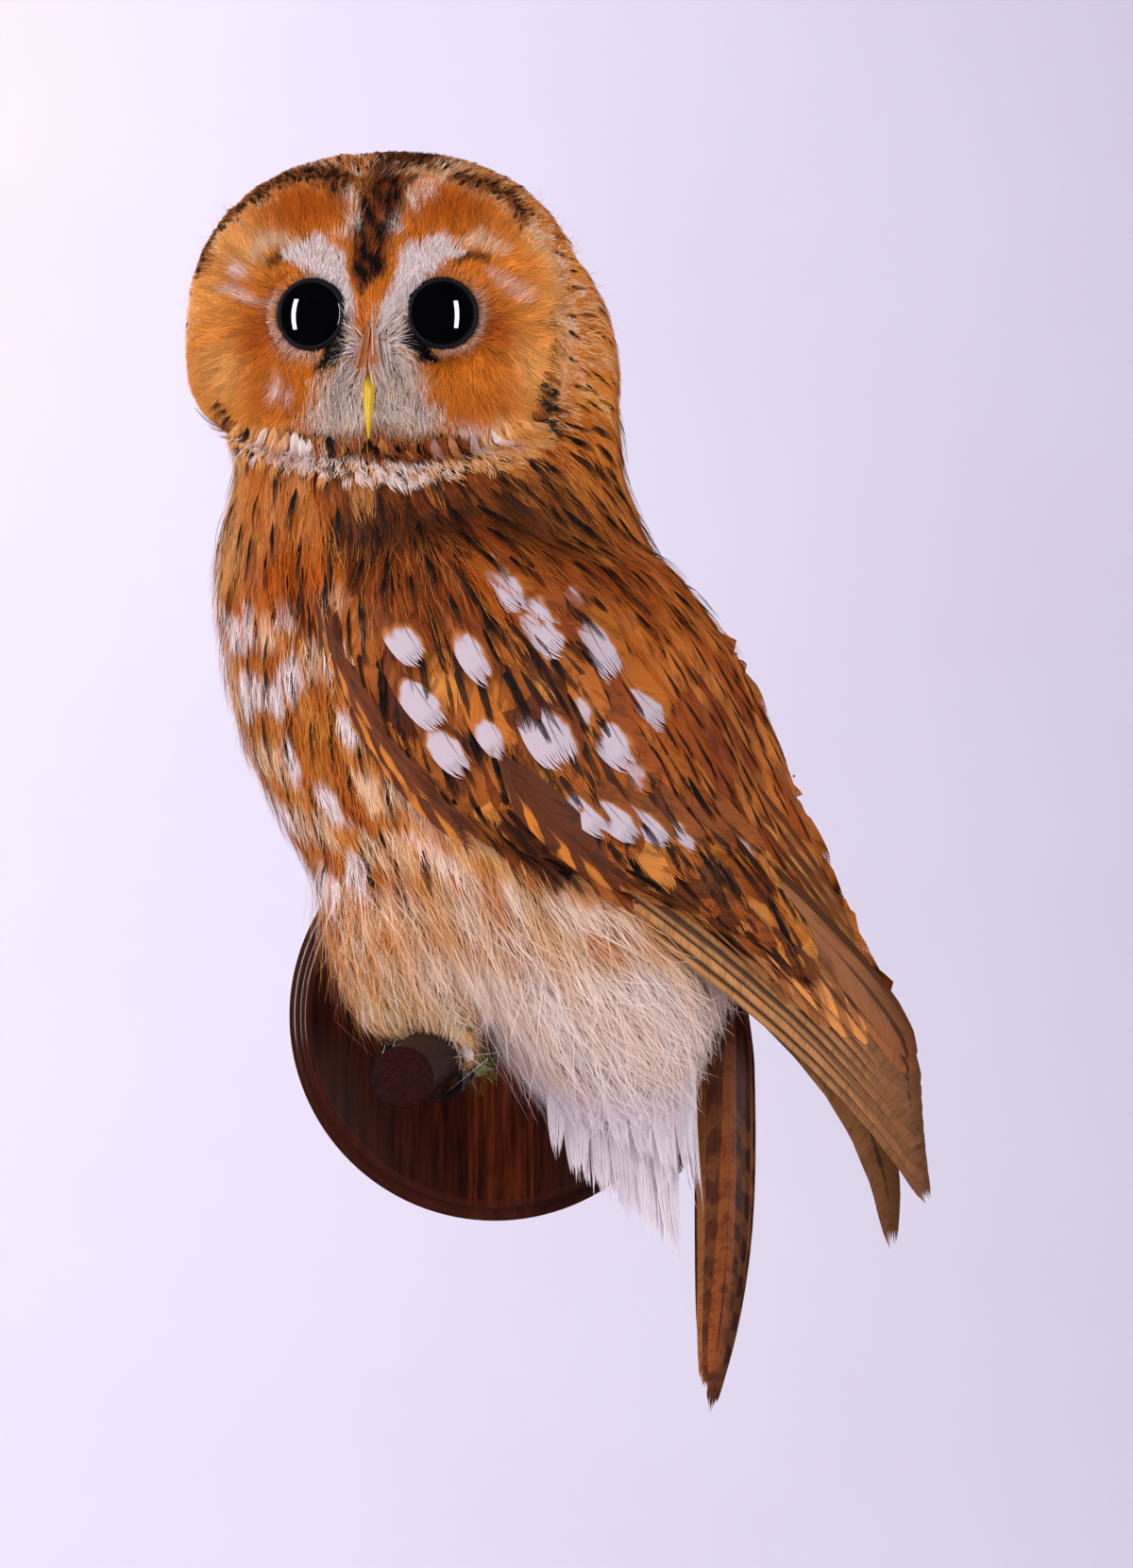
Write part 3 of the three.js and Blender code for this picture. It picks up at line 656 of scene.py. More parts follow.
for side in (1, -1):
    local, reach = round_the_lens(skin_co, side)
    near = (1 - step(reach, 0.0125, 0.0185)) * (np.abs(local[:, 1]) < 0.026)
    seat = 0.0012 + 0.003 * (1 - step(reach, 0.0094, 0.0100))
    local[:, 1] += (seat - local[:, 1]) * near
    on_face = np.maximum(on_face, near)
    skin_co = moved(local, eye_frame(side))
skin_normal = unit(spread(put(skin_co), edges, 3))
print("coat from", round(coat.min(), 1), "to", round(coat.max(), 1), "mm deep")

# %% [markdown]
# An unwrap of the skin's own shape serves twice: the skin keeps it as its own map, and each
# feather gets a small patch of it at its root's place. Smart Project cuts the shape into
# charts by the way its faces point.

# %% Unwrap the skin
skin = placed("skin", skin_mesh)
skin_mesh.shade_smooth()
skin_mesh.uv_layers.new(name="OFBake")
bpy.context.view_layer.objects.active = skin
skin.select_set(True)
bpy.ops.object.mode_set(mode="EDIT")
bpy.ops.mesh.select_all(action="SELECT")
bpy.ops.uv.smart_project(angle_limit=math.radians(66), island_margin=0.003)
bpy.ops.object.mode_set(mode="OBJECT")
skin.select_set(False)
skin_uv = numbers(skin_mesh.uv_layers["OFBake"].data, "uv", 2).reshape(-1, 4, 2)
print("unwrapped", len(skin_uv), "faces")

# %% [markdown]
# ## The lie of the coat
#
# Feathers grow in tracts, and each tract has its own direction. On the face they ray out
# from the eyes and, near the midline, from the root of the bill. From the crown they
# sweep back and down; on the breast they hang; over the back and wings they run down
# towards the wing tips. One direction for each point of the skin, smoothed, says it all.

# %% Directions over the skin
SKULL_MIDDLE = FACE + FORWARD * 0.018 - UP * 0.004
NECK_TOP = 150


def lie_of_the_coat(points, face):
    right, up, forward = face_coordinates(points)
    x, _, z = (points / MM).T
    near_midline = np.exp(-((right / 11) ** 2))
    side = np.where(right > 0, 1.0, -1.0)
    away_x, away_z = right - side * EYE_SPREAD, up
    reach = np.hypot(away_x, away_z) + 0.5
    mid_x, mid_z = (right + 1) * 1.6, up + 12
    mid_reach = np.hypot(mid_x, mid_z) + 0.5
    across = away_x / reach * (1 - near_midline) + mid_x / mid_reach * near_midline
    upwards = away_z / reach * (1 - near_midline) + mid_z / mid_reach * near_midline
    flat = across[:, None] * RIGHT + upwards[:, None] * UP
    swept = np.array([0, 0, -0.75]) * step(-forward, 10, 60)[:, None]
    behind = unit(points - SKULL_MIDDLE) + swept
    slant = 0.35 * (NECK_TOP - z)
    back = step(x, -50 + slant, 30 + slant)
    slope = 0.12 + 0.3 * step(110 - z, 0, 90) + back * (0.85 - 0.5 * step(NECK_TOP - z, 0, 90))
    body = np.column_stack([slope, np.zeros(len(z)), -np.ones(len(z))])
    headward = step(z, 172, 186)[:, None]
    lie = unit(body) * (1 - headward) + unit(behind) * headward
    return unit(lie * (1 - face[:, None]) + flat * face[:, None])


flow = lie_of_the_coat(skin_co, on_face)
flow = unit(spread(flow - skin_normal * np.sum(flow * skin_normal, 1)[:, None], edges, 4))
skin_tree = tree_over(skin_co, quads.tolist())
face_flow = flow[quads].mean(1)
face_normal = unit(skin_normal[quads].mean(1))
face_middle = skin_co[quads].mean(1)
diagonals = (skin_co[quads[:, 2]] - skin_co[quads[:, 0]], skin_co[quads[:, 3]] - skin_co[quads[:, 1]])
face_area = 0.5 * np.linalg.norm(np.cross(*diagonals), axis=1)
print("skin area", round(face_area.sum() * 1e4), "cm2")

# %% [markdown]
# A root is a random place on a random face, kept only where no earlier root is too close.
# From there a feather's centreline walks along the skin in short strides, each one in the
# direction that the coat has where the last stride ended.

# %% Roots scattered over the skin, and centrelines laid along it
def scatter(density, seed, gap=0.0):
    """Roots, about density[face] to each square centimetre and at least gap mm apart."""
    random = np.random.default_rng(seed)
    wanted = face_area * 1e4 * density
    count = np.floor(wanted + random.random(len(wanted))).astype(int)
    faces = np.repeat(np.arange(len(quads)), count)
    random.shuffle(faces)
    u, v = random.random((2, len(faces), 1))
    corners = skin_co[quads[faces]]
    roots = (corners[:, 0] * (1 - u) * (1 - v) + corners[:, 1] * u * (1 - v)
             + corners[:, 2] * u * v + corners[:, 3] * (1 - u) * v)
    if gap:
        tree = KDTree(len(roots))
        for i, root in enumerate(roots):
            tree.insert(root, i)
        tree.balance()
        kept = np.ones(len(roots), bool)
        for i, root in enumerate(roots):
            if kept[i]:
                for _, j, _ in tree.find_range(root, gap * MM):
                    kept[j] &= j <= i
        roots, faces = roots[kept], faces[kept]
    return roots, faces


def patchy(points, size, seed=0.0):
    """Slow noise from 0 to 1 over places in metres, patches about size mm across."""
    x, y, z = (points / (size * MM)).T
    s = seed * 3.7
    waves = (np.sin(1.9 * x + 1.3 * z + s) + np.sin(2.3 * y - 1.7 * z + 2 * s + 1)
             + np.sin(2.9 * z + 1.1 * x - 1.6 * y + 3 * s)
             + np.sin(3.3 * x - 2.1 * y + 0.7 * z + s))
    return np.clip(0.5 + 0.22 * waves, 0, 1)


def lay(roots, faces, length, stations=5, veer=0.0, seed=0, curl=0.0, clump=0.0):
    """Walks from each root along the coat's lie. Gives the stations' places on the skin,
    the skin's normals there, and the roots' places on the unwrap."""
    random = np.random.default_rng(seed)
    turn = random.normal(0, 1, len(roots)) * veer if np.isscalar(veer) else veer
    bend = curl * random.normal(0, 1, len(roots))
    if clump:
        lock = patchy(roots, 5, seed) - 0.5
        turn = turn + clump * lock
        bend = bend - 0.5 * clump * lock
    places, normals = [roots], [face_normal[faces]]
    at_face = faces.copy()
    stride = (length * MM / (stations - 1))[:, None]
    place = roots
    for _ in range(stations - 1):
        normal = face_normal[at_face]
        way = face_flow[at_face]
        way = unit(way - normal * np.sum(way * normal, 1)[:, None])
        way = way * np.cos(turn)[:, None] + np.cross(normal, way) * np.sin(turn)[:, None]
        turn = turn + bend
        found = [skin_tree.find_nearest(Vector(aim)) for aim in place + way * stride]
        place = np.array([f[0] for f in found])
        at_face = np.array([f[2] for f in found])
        places.append(place)
        normals.append(face_normal[at_face])
    return np.stack(places, 1), np.stack(normals, 1), skin_uv[faces].mean(1)


print("feathers can stand on", len(quads), "faces")

# %% [markdown]
# ## Vanes and strands
#
# A vane starts as a flat grid. The inner edges near its tip are split, each freed lock of
# barbs is drawn to a point at its own length, and the outline narrows to a quill at the
# root and rounds off at the tip. A strand is the same thing with one column. Thousands
# of copies are then bent along their centrelines by arrays and joined into one mesh.

# %% A vane's pattern
def vane(columns, rows, split_from=0.55, ragged=0.12, blunt=2.2, root=0.3, free=0.0, seed=0,
         tip=0.56):
    """Points across (-1 to 1) and along (0 to 1) a feather. The locks part from split_from
    on, fall short by up to ragged and thin by free; blunt, root and tip shape the outline."""
    random = np.random.default_rng(seed)
    shape = bmesh.new()
    bmesh.ops.create_grid(shape, x_segments=columns, y_segments=rows, size=1.0)
    half = Matrix.Translation((0, 0.5, 0)) @ Matrix.Diagonal((1, 0.5, 1, 1))
    bmesh.ops.transform(shape, matrix=half, verts=shape.verts)
    inner = [e for e in shape.edges if abs(e.verts[0].co.x - e.verts[1].co.x) < 1e-5
             and abs(e.verts[0].co.x) < 0.99 and min(v.co.y for v in e.verts) > split_from - 1e-5]
    if inner:
        bmesh.ops.split_edges(shape, edges=inner)
    for edge in [e for e in shape.edges if min(v.co.y for v in e.verts) > 0.999]:
        halfway = (edge.verts[0].co + edge.verts[1].co) / 2
        bmesh.ops.pointmerge(shape, verts=list(edge.verts), merge_co=halfway)
    reach = 1 - ragged * random.random(columns)
    sway = 0.5 / columns * random.normal(size=columns)
    for v in shape.verts:
        lane = sum(f.calc_center_median().x for f in v.link_faces) / len(v.link_faces)
        b = (v.co.y - split_from) / (1 - split_from)
        if b > 1e-4:
            k = min(int((lane + 1) / 2 * columns), columns - 1)
            centre = (k + 0.5) / columns * 2 - 1
            thin = 1 - free * min(1, 2 * b)
            v.co.x = centre + (v.co.x - centre) * thin + sway[k] * b * b
            v.co.y = split_from + (v.co.y - split_from) * (reach[k] - split_from) / (1 - split_from)
    for v in shape.verts:
        b = v.co.y
        rounding = max(0.0, 1 - max(0.0, (b - 0.5) / tip) ** blunt) ** 0.6
        width = min(1.0, (b / root + 0.02) ** 0.7) * rounding
        v.co.z = -0.16 * v.co.x ** 2 * width
        v.co.x *= width
    shape.verts.index_update()
    pattern = {"across": np.array([v.co.x for v in shape.verts]),
               "along": np.array([v.co.y for v in shape.verts]),
               "bow": np.array([v.co.z for v in shape.verts]),
               "faces": [[v.index for v in f.verts] for f in shape.faces]}
    shape.free()
    return pattern


def vanes(count, seed, *measures, **options):
    """Several patterns alike but for their random locks, so that no two neighbours match."""
    return [vane(*measures, seed=seed + k, **options) for k in range(count)]


small = vanes(4, 0, 8, 4, 0.25, 0.4, free=0.4)
medium = vanes(5, 10, 16, 9, 0.5, 0.2, blunt=2.4, free=0.25)
broad = vanes(4, 20, 16, 10, 0.7, 0.14, blunt=2.6, free=0.3)
loose = vanes(5, 30, 18, 4, 0.0, 0.5, blunt=1.8, free=0.6)
pointed = vanes(4, 40, 12, 8, 0.4, 0.25, blunt=1.3, free=0.5)
dashes = vanes(3, 45, 5, 8, 0.3, 0.3, blunt=1.4, free=0.4, tip=0.52)
covert = vanes(3, 50, 16, 14, 0.78, 0.08, blunt=3.0, free=0.25)
long_vane = vanes(3, 70, 8, 44, 0.97, 0.015, blunt=2.6, root=0.12, tip=0.503)
tail_vane = vanes(3, 76, 8, 40, 0.95, 0.03, blunt=4.0, root=0.12, tip=0.51)
vent_vane = vanes(3, 130, 12, 14, 0.5, 0.15, blunt=1.3, free=0.3, tip=0.52)
strands = {rows: vane(1, rows, ragged=0.0, root=0.02, blunt=1.6) for rows in (2, 3, 5)}
print("a broad vane has", len(broad[0]["faces"]), "faces, a strand", len(strands[3]["faces"]))

# %% [markdown]
# A Coat gathers the feathers of one piece. Each copy of a pattern follows its centreline,
# lifted off the skin a little more at each station, and carries two maps and two colour
# attributes: the unwrap's patch, the vane's own map, its tone and its markings.

# %% Lay the vanes and join them
PATCH = (0.003, 0.003)


class Coat:
    """Feathers of one kind, gathered until they are joined into one mesh."""

    def __init__(self, name):
        self.name = name
        self.batches = []

    def add(self, pattern, places, normals, patch, width, lift, tone, tip_tone, marks, seed=0,
            bow=1.0, mirrored=False, hand=None, patch_size=PATCH, painted=None):
        """Lays one copy of the pattern on each centreline.

        lift is (stations,) or (feathers, stations) in mm, width in mm, tone and tip_tone
        are colours, marks four strengths: streak, bars, spot, mottle."""
        if len(places) == 0:
            return
        random = np.random.default_rng(seed)
        count, stations = places.shape[:2]
        along, across = pattern["along"], pattern["across"][None, :]
        spot = np.clip(along, 0, 1) * (stations - 1)
        weights = np.maximum(0, 1 - np.abs(spot[:, None] - np.arange(stations)[None, :]))
        line = places + normals * (np.broadcast_to(lift, (count, stations)) * MM)[..., None]
        way = unit(np.gradient(line, axis=1))
        side = unit(np.cross(way, normals))
        out = np.cross(side, way)
        wide = (width * MM)[:, None]
        co = np.einsum("vs,nsk->nvk", weights, line)
        co += np.einsum("vs,nsk->nvk", weights, side) * (wide * across)[..., None]
        co += np.einsum("vs,nsk->nvk", weights, out) * (wide * pattern["bow"] * bow)[..., None]
        if mirrored:
            co[..., 1] = 2 * MID_Y - co[..., 1]
        flip = np.ones(count) if hand is None else hand
        u = 0.5 + 0.5 * across * flip[:, None]
        v = np.broadcast_to(along, (count, len(along)))
        spread_out = np.stack([(0.5 * across + 0 * v) * patch_size[0], (v - 0.5) * patch_size[1]], -1)
        colour = tone[:, None, :] * (1 - v[..., None]) + tip_tone[:, None, :] * v[..., None]
        if painted is not None:
            colour = colour * painted(co.reshape(-1, 3), random).reshape(co.shape)
        chance = np.broadcast_to(random.random((count, 1)), v.shape)
        faces = [f[::-1] for f in pattern["faces"]] if mirrored else pattern["faces"]
        self.batches.append({"co": co, "faces": faces, "bake": patch[:, None, :] + spread_out,
                             "vane": np.stack([u, v], -1),
                             "tone": np.concatenate([colour, chance[..., None]], -1),
                             "marks": np.broadcast_to(marks[:, None, :], (*v.shape, 4))})

    def join(self, finish, slot, *stands_for):
        loops, starts = [], []
        base = loop_base = 0
        for batch in self.batches:
            count, size = batch["co"].shape[:2]
            copies = np.arange(count)[:, None]
            ring = np.concatenate([np.array(f) for f in batch["faces"]])
            corners = np.array([len(f) for f in batch["faces"]])
            first = np.concatenate([[0], np.cumsum(corners)[:-1]])
            loops.append((ring[None, :] + base + copies * size).ravel())
            starts.append((first[None, :] + loop_base + copies * len(ring)).ravel())
            base += count * size
            loop_base += count * len(ring)
        loops = np.concatenate(loops).astype(np.int32)
        starts = np.concatenate(starts).astype(np.int32)

        def gathered(key):
            width = self.batches[0][key].shape[-1]
            return np.concatenate([b[key].reshape(-1, width) for b in self.batches]).astype(np.float32)

        mesh = bpy.data.meshes.new(self.name)
        mesh.vertices.add(base)
        mesh.vertices.foreach_set("co", gathered("co").ravel())
        mesh.loops.add(len(loops))
        mesh.loops.foreach_set("vertex_index", loops)
        mesh.polygons.add(len(starts))
        mesh.polygons.foreach_set("loop_start", starts)
        mesh.update(calc_edges=True)
        mesh.shade_smooth()
        for name, key in (("OFBake", "bake"), ("Vane", "vane")):
            mesh.uv_layers.new(name=name).data.foreach_set("uv", gathered(key)[loops].ravel())
        for name in ("tone", "marks"):
            layer = mesh.attributes.new(name, "FLOAT_COLOR", "POINT")
            layer.data.foreach_set("color", gathered(name).ravel())
        print(self.name, len(loops) - 2 * len(starts), "triangles")
        return dress(placed(self.name, mesh), finish, slot, *stands_for)


print("patches on the unwrap are", PATCH[0], "of it wide")

# %% [markdown]
# ## Markings
#
# Skin and coat carry the same markings, as functions of the place on the bird: one for
# the face and head, in millimetres right of and above the point between the eyes, and one
# for the body, seen from the side. Colours are laid over each other like thin paint. Most
# of these functions also say how strong a feather's own pattern is: dark shaft streak,
# rufous bars, white spot and mottling.

# %% The palette
DARK = "140906"
PALE = "EFE0DE"


def shade(colour):
    """A colour's code as linear red, green and blue; an array of colours stays as it is."""
    return np.array(tint(colour)[:3]) if isinstance(colour, str) else colour


def layers(tone, *coats):
    """Lays colours over a first one in turn, each with how strongly it covers."""
    tone = shade(tone)
    for colour, weight in coats:
        tone = tone + (shade(colour) - tone) * np.clip(weight, 0, 1)[:, None]
    return tone


def pick(chance, share, first, second):
    """The first colour where a feather's chance is below the share, else the second."""
    return np.where(chance[:, None] < share, shade(first), shade(second))


def marked(count, streak=0.0, bars=0.0, mottle=0.0):
    marks = np.zeros((count, 4))
    marks[:, 0] = streak
    marks[:, 1] = bars
    marks[:, 3] = mottle
    return marks


def either(first, share, second):
    """Colours of feathers that are plainly one thing or another."""
    def colours(points, random):
        return pick(random.random(len(points)), share, first, second), marked(len(points))
    return colours


streak_colours = either(DARK, 0.7, "3A1C10")
fleck_colours = either(DARK, 0.4, "6A3414")
leg_colours = either("D8A468", 0.6, "F0DAC0")
mark_colours = either("2C160C", 0.6, "96501E")


def locks_at(points, size, seed):
    """Like chance from 0 to 1, but the same over a lock of feathers about size mm across."""
    return 1 / (1 + np.exp(-9 * (patchy(points, size, seed) - 0.5)))


print("a dark streak is", shade(DARK).round(4))

# %% [markdown]
# The disc glows orange, darker above and beside the eyes. Pale brows curve over the eyes
# and down beside the bill into a fan of bristles, a dark stripe runs up between them onto
# the crown, and a mottled band beads the disc's upper rim. Each path is a list of places
# with the half width there.

# %% Paths of the face's markings
STRIPE = ((-3.4, 3.0, 0.7), (-3.3, 6.3, 2.4), (-2.8, 11, 4.4), (-1.9, 16, 5.0), (-1.6, 23, 5.6),
          (1, 30, 6.3), (3.7, 37, 5.4), (5, 46, 9.5))
BROW_RIGHT = ((25, 17.4, 1.6), (18.5, 18.4, 4.4), (12, 15, 5.4), (8.4, 8, 4.2), (5.4, 0, 3.8),
              (4.6, -8, 4.2))
BROW_LEFT = ((-28, 16.8, 1.8), (-20.5, 17.6, 5.2), (-14, 14, 5.0), (-11, 6.5, 3.0), (-8.2, -1, 3.0),
             (-7.4, -8, 3.4))
INNER_RIM = ((-53.5, 12, 0.8), (-49.5, 24.8, 1.5), (-41.3, 32.3, 1.9), (-33.8, 37.4, 2.2),
             (-24.7, 41.2, 2.6), (-17.6, 42, 2.6), (-11.5, 39, 2.6))
OUTER_RIM = ((22, 39.5, 1.4), (28.7, 38.3, 1.9), (35.9, 35.2, 1.9), (41, 30, 1.4), (42.5, 26, 0.7))
PATCH_RIGHT = ((51.4, -19, 1.2), (49.6, -27, 2.2), (46.5, -36, 1.5))
PATCH_LEFT = ((-48, -25, 0.8), (-45.6, -30, 1.3), (-42, -35, 0.9))
RIM_THREAD = ((52.6, 12, 0.5), (53.6, -2, 0.7), (52.5, -18, 0.7))
RIM_GLEAM = ((46, 30, 0.6), (51, 21, 0.9), (56, 8, 1.0), (57, -14, 1.0))
BROW_TIP = ((25, 21.5, 1.6), (31, 21.8, 2.4), (38, 18, 1.4))
BROW_SHADOW = ((23.5, 14.4, 0.9), (28, 16.6, 1.9), (33.5, 15.6, 0.9))
CHEEK_LEFT = ((-46, 8.5, 1.2), (-41, 6.5, 2.2), (-35, 3.5, 1.0))
CHEEK_RIGHT = ((32, 12.5, 1.0), (38, 8.5, 2.2), (45, 4.5, 1.4))
TEAR = ((8.4, -3, 1.2), (10.2, -8.2, 3.0), (14.2, -12.6, 2.4), (17, -14.4, 1.0))
CHIN_BAND = ((-30, -35.5, 1.2), (-14, -35.5, 2.4), (-2, -36.5, 4.6), (12, -37, 4.4), (27, -37.5, 2.0))
FOREHEAD_SPOTS = ((-8.1, 33.8, 2.0, 1.8), (-6.8, 30, 1.4, 2.2), (-6.6, 26.7, 1.7, 1.6),
                  (-10.4, 23.6, 2.8, 1.5), (5.4, 25, 2.0, 2.3), (10, 32, 1.6, 2.3),
                  (12.8, 33.6, 1.7, 1.7), (15.8, 34.2, 1.9, 1.5), (15.3, 38.2, 2.1, 2.4),
                  (21, 42, 4.2, 2.2))
FAN_REACH = ((0, 8.5), (9, 10), (14, 13), (25, 18.5), (31, 21), (36, 22))
print("paths of the face: the stripe has", len(STRIPE), "places")

# %% [markdown]
# The paths become colours in the order in which a painter would work: the disc's ground,
# the brows, the bristles and the chin, then the dark rim, and the stripe last. A feather's
# chance and another number of its own decide where a colour is mixed feather by feather.

# %% The face's colours
def combed(right, up, seed):
    """Locks that ray out from the nearer eye, from -1 to 1."""
    side = np.where(right > 0, 1.0, -1.0)
    turn = np.arctan2(up, right - side * EYE_SPREAD)
    reach = np.hypot(up, right - side * EYE_SPREAD)
    waves = [np.sin(turn * k + reach * q + seed * k)
             for k, q in ((31, 0.35), (47, -0.22), (73, 0.5), (19, -0.4))]
    return np.clip(sum(waves) / 2.4, -1, 1)


def whisker_fan(right, up):
    """The pale bristles that fan down from the eyes' inner corners, either side of the bill."""
    m = np.abs(right + 1.0)
    outer = np.interp(-up, *zip(*FAN_REACH))
    return step(-up, -1, 7) * (1 - step(m, outer - 7, outer + 7)) * (1 - step(-up, 31, 35))


def beaded(tone, right, up, chance):
    """The dark mottled band just inside the rim, and the darker marks low at its sides."""
    dark_rim = np.maximum(ribbon(right, up, INNER_RIM), ribbon(right, up, OUTER_RIM))
    tone = layers(tone, (pick(chance, 0.68, "2C1710", "A8602E"), 1.1 * dark_rim),
                  ("3A2014", 0.9 * ribbon(right, up, RIM_THREAD)),
                  (DARK, 1.3 * ribbon(right, up, PATCH_RIGHT, 0.3)),
                  ("2A1510", 0.9 * ribbon(right, up, PATCH_LEFT)))
    return tone, dark_rim


def disc_tone(points, right, up):
    """The disc's orange, with its deeper and paler clouds. Its two halves nearly mirror."""
    m = np.abs(right)
    share = disc_share(right, up)
    outer = step(share, 0.62, 0.95) * (0.3 + 0.5 * patchy(points, 9, 2)) * (1 - 0.8 * step(up, 16, 30))
    return layers(
        "E88624",
        ("B65A12", 0.55 * patchy(points, 7)),
        ("F0AC58", outer),
        ("B85408", 0.95 * hill(m, up, 23, 31, 15, 8)),
        ("F0B56A", 0.7 * hill(right, up, -41, 22, 8, 7) + 0.6 * hill(m, up, 46, -16, 6, 10)),
        ("B04E12", 0.85 * hill(m, up, 36, -4, 5.5, 9) + 0.4 * hill(m, up, 33, -27, 9, 5)),
        ("E9CBA6", 0.7 * ribbon(m, up, BROW_TIP)),
        (PALE, 0.85 * hill(right, up, -41.3, 12.9, 2.3, 2.0)),
        (PALE, 0.4 * ribbon(right, up, CHEEK_LEFT)),
        (PALE, 0.8 * hill(right, up, -31.3, -20.8, 1.5, 3.4) + 0.6 * hill(right, up, -27, -23, 1.2, 2.4)),
        (PALE, 0.3 * ribbon(right, up, CHEEK_RIGHT)),
        ("5A2A10", 0.9 * ribbon(m, up, BROW_SHADOW, 0.7)))


def face_colours(points, random):
    right, up, _ = face_coordinates(points)
    chance, other = random.random((2, len(points)))
    right = right + 1.5 * (patchy(points, 5, 7) - 0.5) + 0.35 * random.normal(size=len(points))
    up = up + 1.5 * (patchy(points, 5, 8) - 0.5) + 0.35 * random.normal(size=len(points))
    m = np.abs(right)
    tone = disc_tone(points, right, up) * (1 + 0.2 * combed(right, up, 1.0))[:, None]
    brow = np.maximum(ribbon(right, up, BROW_RIGHT, 0.25), ribbon(right, up, BROW_LEFT, 0.25))
    from_eye = np.hypot(m - EYE_SPREAD, up)
    ring = np.exp(-(((from_eye - 12.2) / 1.5) ** 2)) * (0.12 + 0.88 * step(m - up * 0.7, 21, 30))
    bristles = pick(chance, 0.17, "2E2624", pick(chance, 0.5, PALE, "DCC2A4"))
    saddle = hill(right, up, -3.2, -3.5, 1.7, 4) + hill(right, up, -2.2, -12, 3, 2.6)
    chin = hill(right, up, -22, -36, 8, 2.6) + hill(right, up, 30, -34, 7, 2.2)
    chin_band = pick(other, 0.25, DARK, pick(other, 0.7, "96480E", "CC8440"))
    ochre = step(up, 31, 36) * (1 - step(np.abs(right + 2), 8, 12))
    tone = layers(
        tone,
        (pick(chance, 0.8, PALE, "D9B9A2"), brow > 0.1 + 0.8 * other),
        ("D8CCC4", 0.5 * ring),
        (bristles, whisker_fan(right, up) > 0.1 + 0.85 * other),
        ("D06A26", 1.2 * saddle * (other < 0.85)),
        ("14100F", 1.3 * ribbon(m, up, TEAR, 0.3)),
        ("EBCFC6", chin),
        (chin_band, ribbon(right, up, CHIN_BAND, 0.25)),
        (pick(chance, 0.62, "CC7C30", DARK), ochre),
        ("6A3014", 1.2 * hill(right, up, -11.4, 37, 3.6, 4.2)))
    tone, dark_rim = beaded(tone, right, up, other)
    rust = step(patchy(points, 2.2, 4) + 0.3 * (chance - 0.5), 0.62, 0.72)
    spots = sum(hill(right, up, *spot) for spot in FOREHEAD_SPOTS)
    rim = step(disc_share(right, up), 0.95, 0.99) * (1 - dark_rim)
    return layers(
        tone,
        ("B4601E", 0.8 * ribbon(right, up, STRIPE, 0.5) * (1 - step(up, 3, 12))),
        (layers(DARK, ("8E4317", rust)), ribbon(right, up, STRIPE, 0.22)),
        ("F6E4D2", 1.5 * spots * step(patchy(points, 1.3, 21), 0.42, 0.56)),
        (pick(chance, 0.35, "F6DCC0", "E9A55A"), rim))


def head_colours(points, random, in_locks=False):
    """The crown, the sides and the back of the head. Hair takes its colour in locks."""
    right, up, forward = face_coordinates(points)
    chance, other = random.random((2, len(points)))
    if in_locks:
        chance, other = locks_at(points, 1.6, 1), locks_at(points, 1.2, 5)
    right = right + 0.6 * random.normal(size=len(points))
    crown = step(up, 30, 44)
    stripe = (1 - step(np.abs(right - 6), 6, 12)) * step(up, 34, 42) * (1 - step(-forward, 20, 60) * 0.6)
    gleam = 0.9 * ribbon(right, up, RIM_GLEAM) * (chance < 0.45) * step(forward, -24, -6)
    tone = layers(
        "F29A3C",
        ("CC6A14", patchy(points, 8, 1)),
        ("F8CC8C", (chance < 0.2) * 0.7),
        (pick(other, 0.68, "E8862A", "8A4212"), crown * 0.9),
        ("E8C48E", 0.9 * crown * hill(right, up, 20, 43, 6, 3)),
        ("E0C2A8", 0.9 * hill(right, up, -20, 44.5, 5, 2.5)),
        ("F4D8B4", crown * (chance < 0.12)),
        (pick(other, 0.7, DARK, "8A441C"), 0.95 * stripe),
        ("C0621A", step(-forward, 20, 50) * 0.6),
        ("F6DCC0", gleam))
    tone, _ = beaded(tone, right, up, other)
    return tone, marked(len(points), (0.6 + 0.4 * crown) * (other > 0.7), mottle=0.12 + 0.3 * crown)


def head_locks(points, random):
    return head_colours(points, random, in_locks=True)


def rim_colours(points, random):
    return face_colours(points, random) * 0.98, marked(len(points), mottle=0.15)


print("between the eyes:", disc_tone(FACE[None], np.zeros(1), np.zeros(1)).round(2))

# %% [markdown]
# The ruff below the disc is built of white blocks flecked with black that turn
# orange-buff towards the owl's left, with a chestnut band tucked in under the bill.

# %% The ruff's colours
RUFF = ((-42, -34.5, 2.5), (-30, -37.5, 3.5), (-12, -41, 4.0), (5, -43, 4.0), (20, -42, 4.0),
        (35, -37.5, 4.2), (44, -33.5, 2.5))
CHESTNUT_BAND = ((-18, -35, 0.8), (-6, -37, 1.6), (8, -38.4, 1.8), (22, -37.6, 1.6), (32, -35.5, 0.8))


def ruff_colours(points, random):
    right, up, _ = face_coordinates(points)
    chance, other = random.random((2, len(points)))
    below_bill = pick(other, 0.3, DARK, pick(other, 0.85, "8E400E", "CC8040"))
    tone = layers(
        "FAE6DC",
        ("F0AE70", chance < 0.26),
        ("EBA050", (1 - step(right, -34, -20)) * (other < 0.5)),
        ("F0AE66", step(right, 10, 20) * (other < 0.6)),
        (DARK, chance > 0.91 + 0.05 * step(right, 30, 38)),
        ("E8963A", (other > 0.4) * step(right, 34, 42) * 0.9),
        (below_bill, 1.2 * ribbon(right, up, CHESTNUT_BAND, 0.3)))
    return tone, marked(len(points), (other > 0.8) * 0.8, 0.15 * (chance > 0.3))


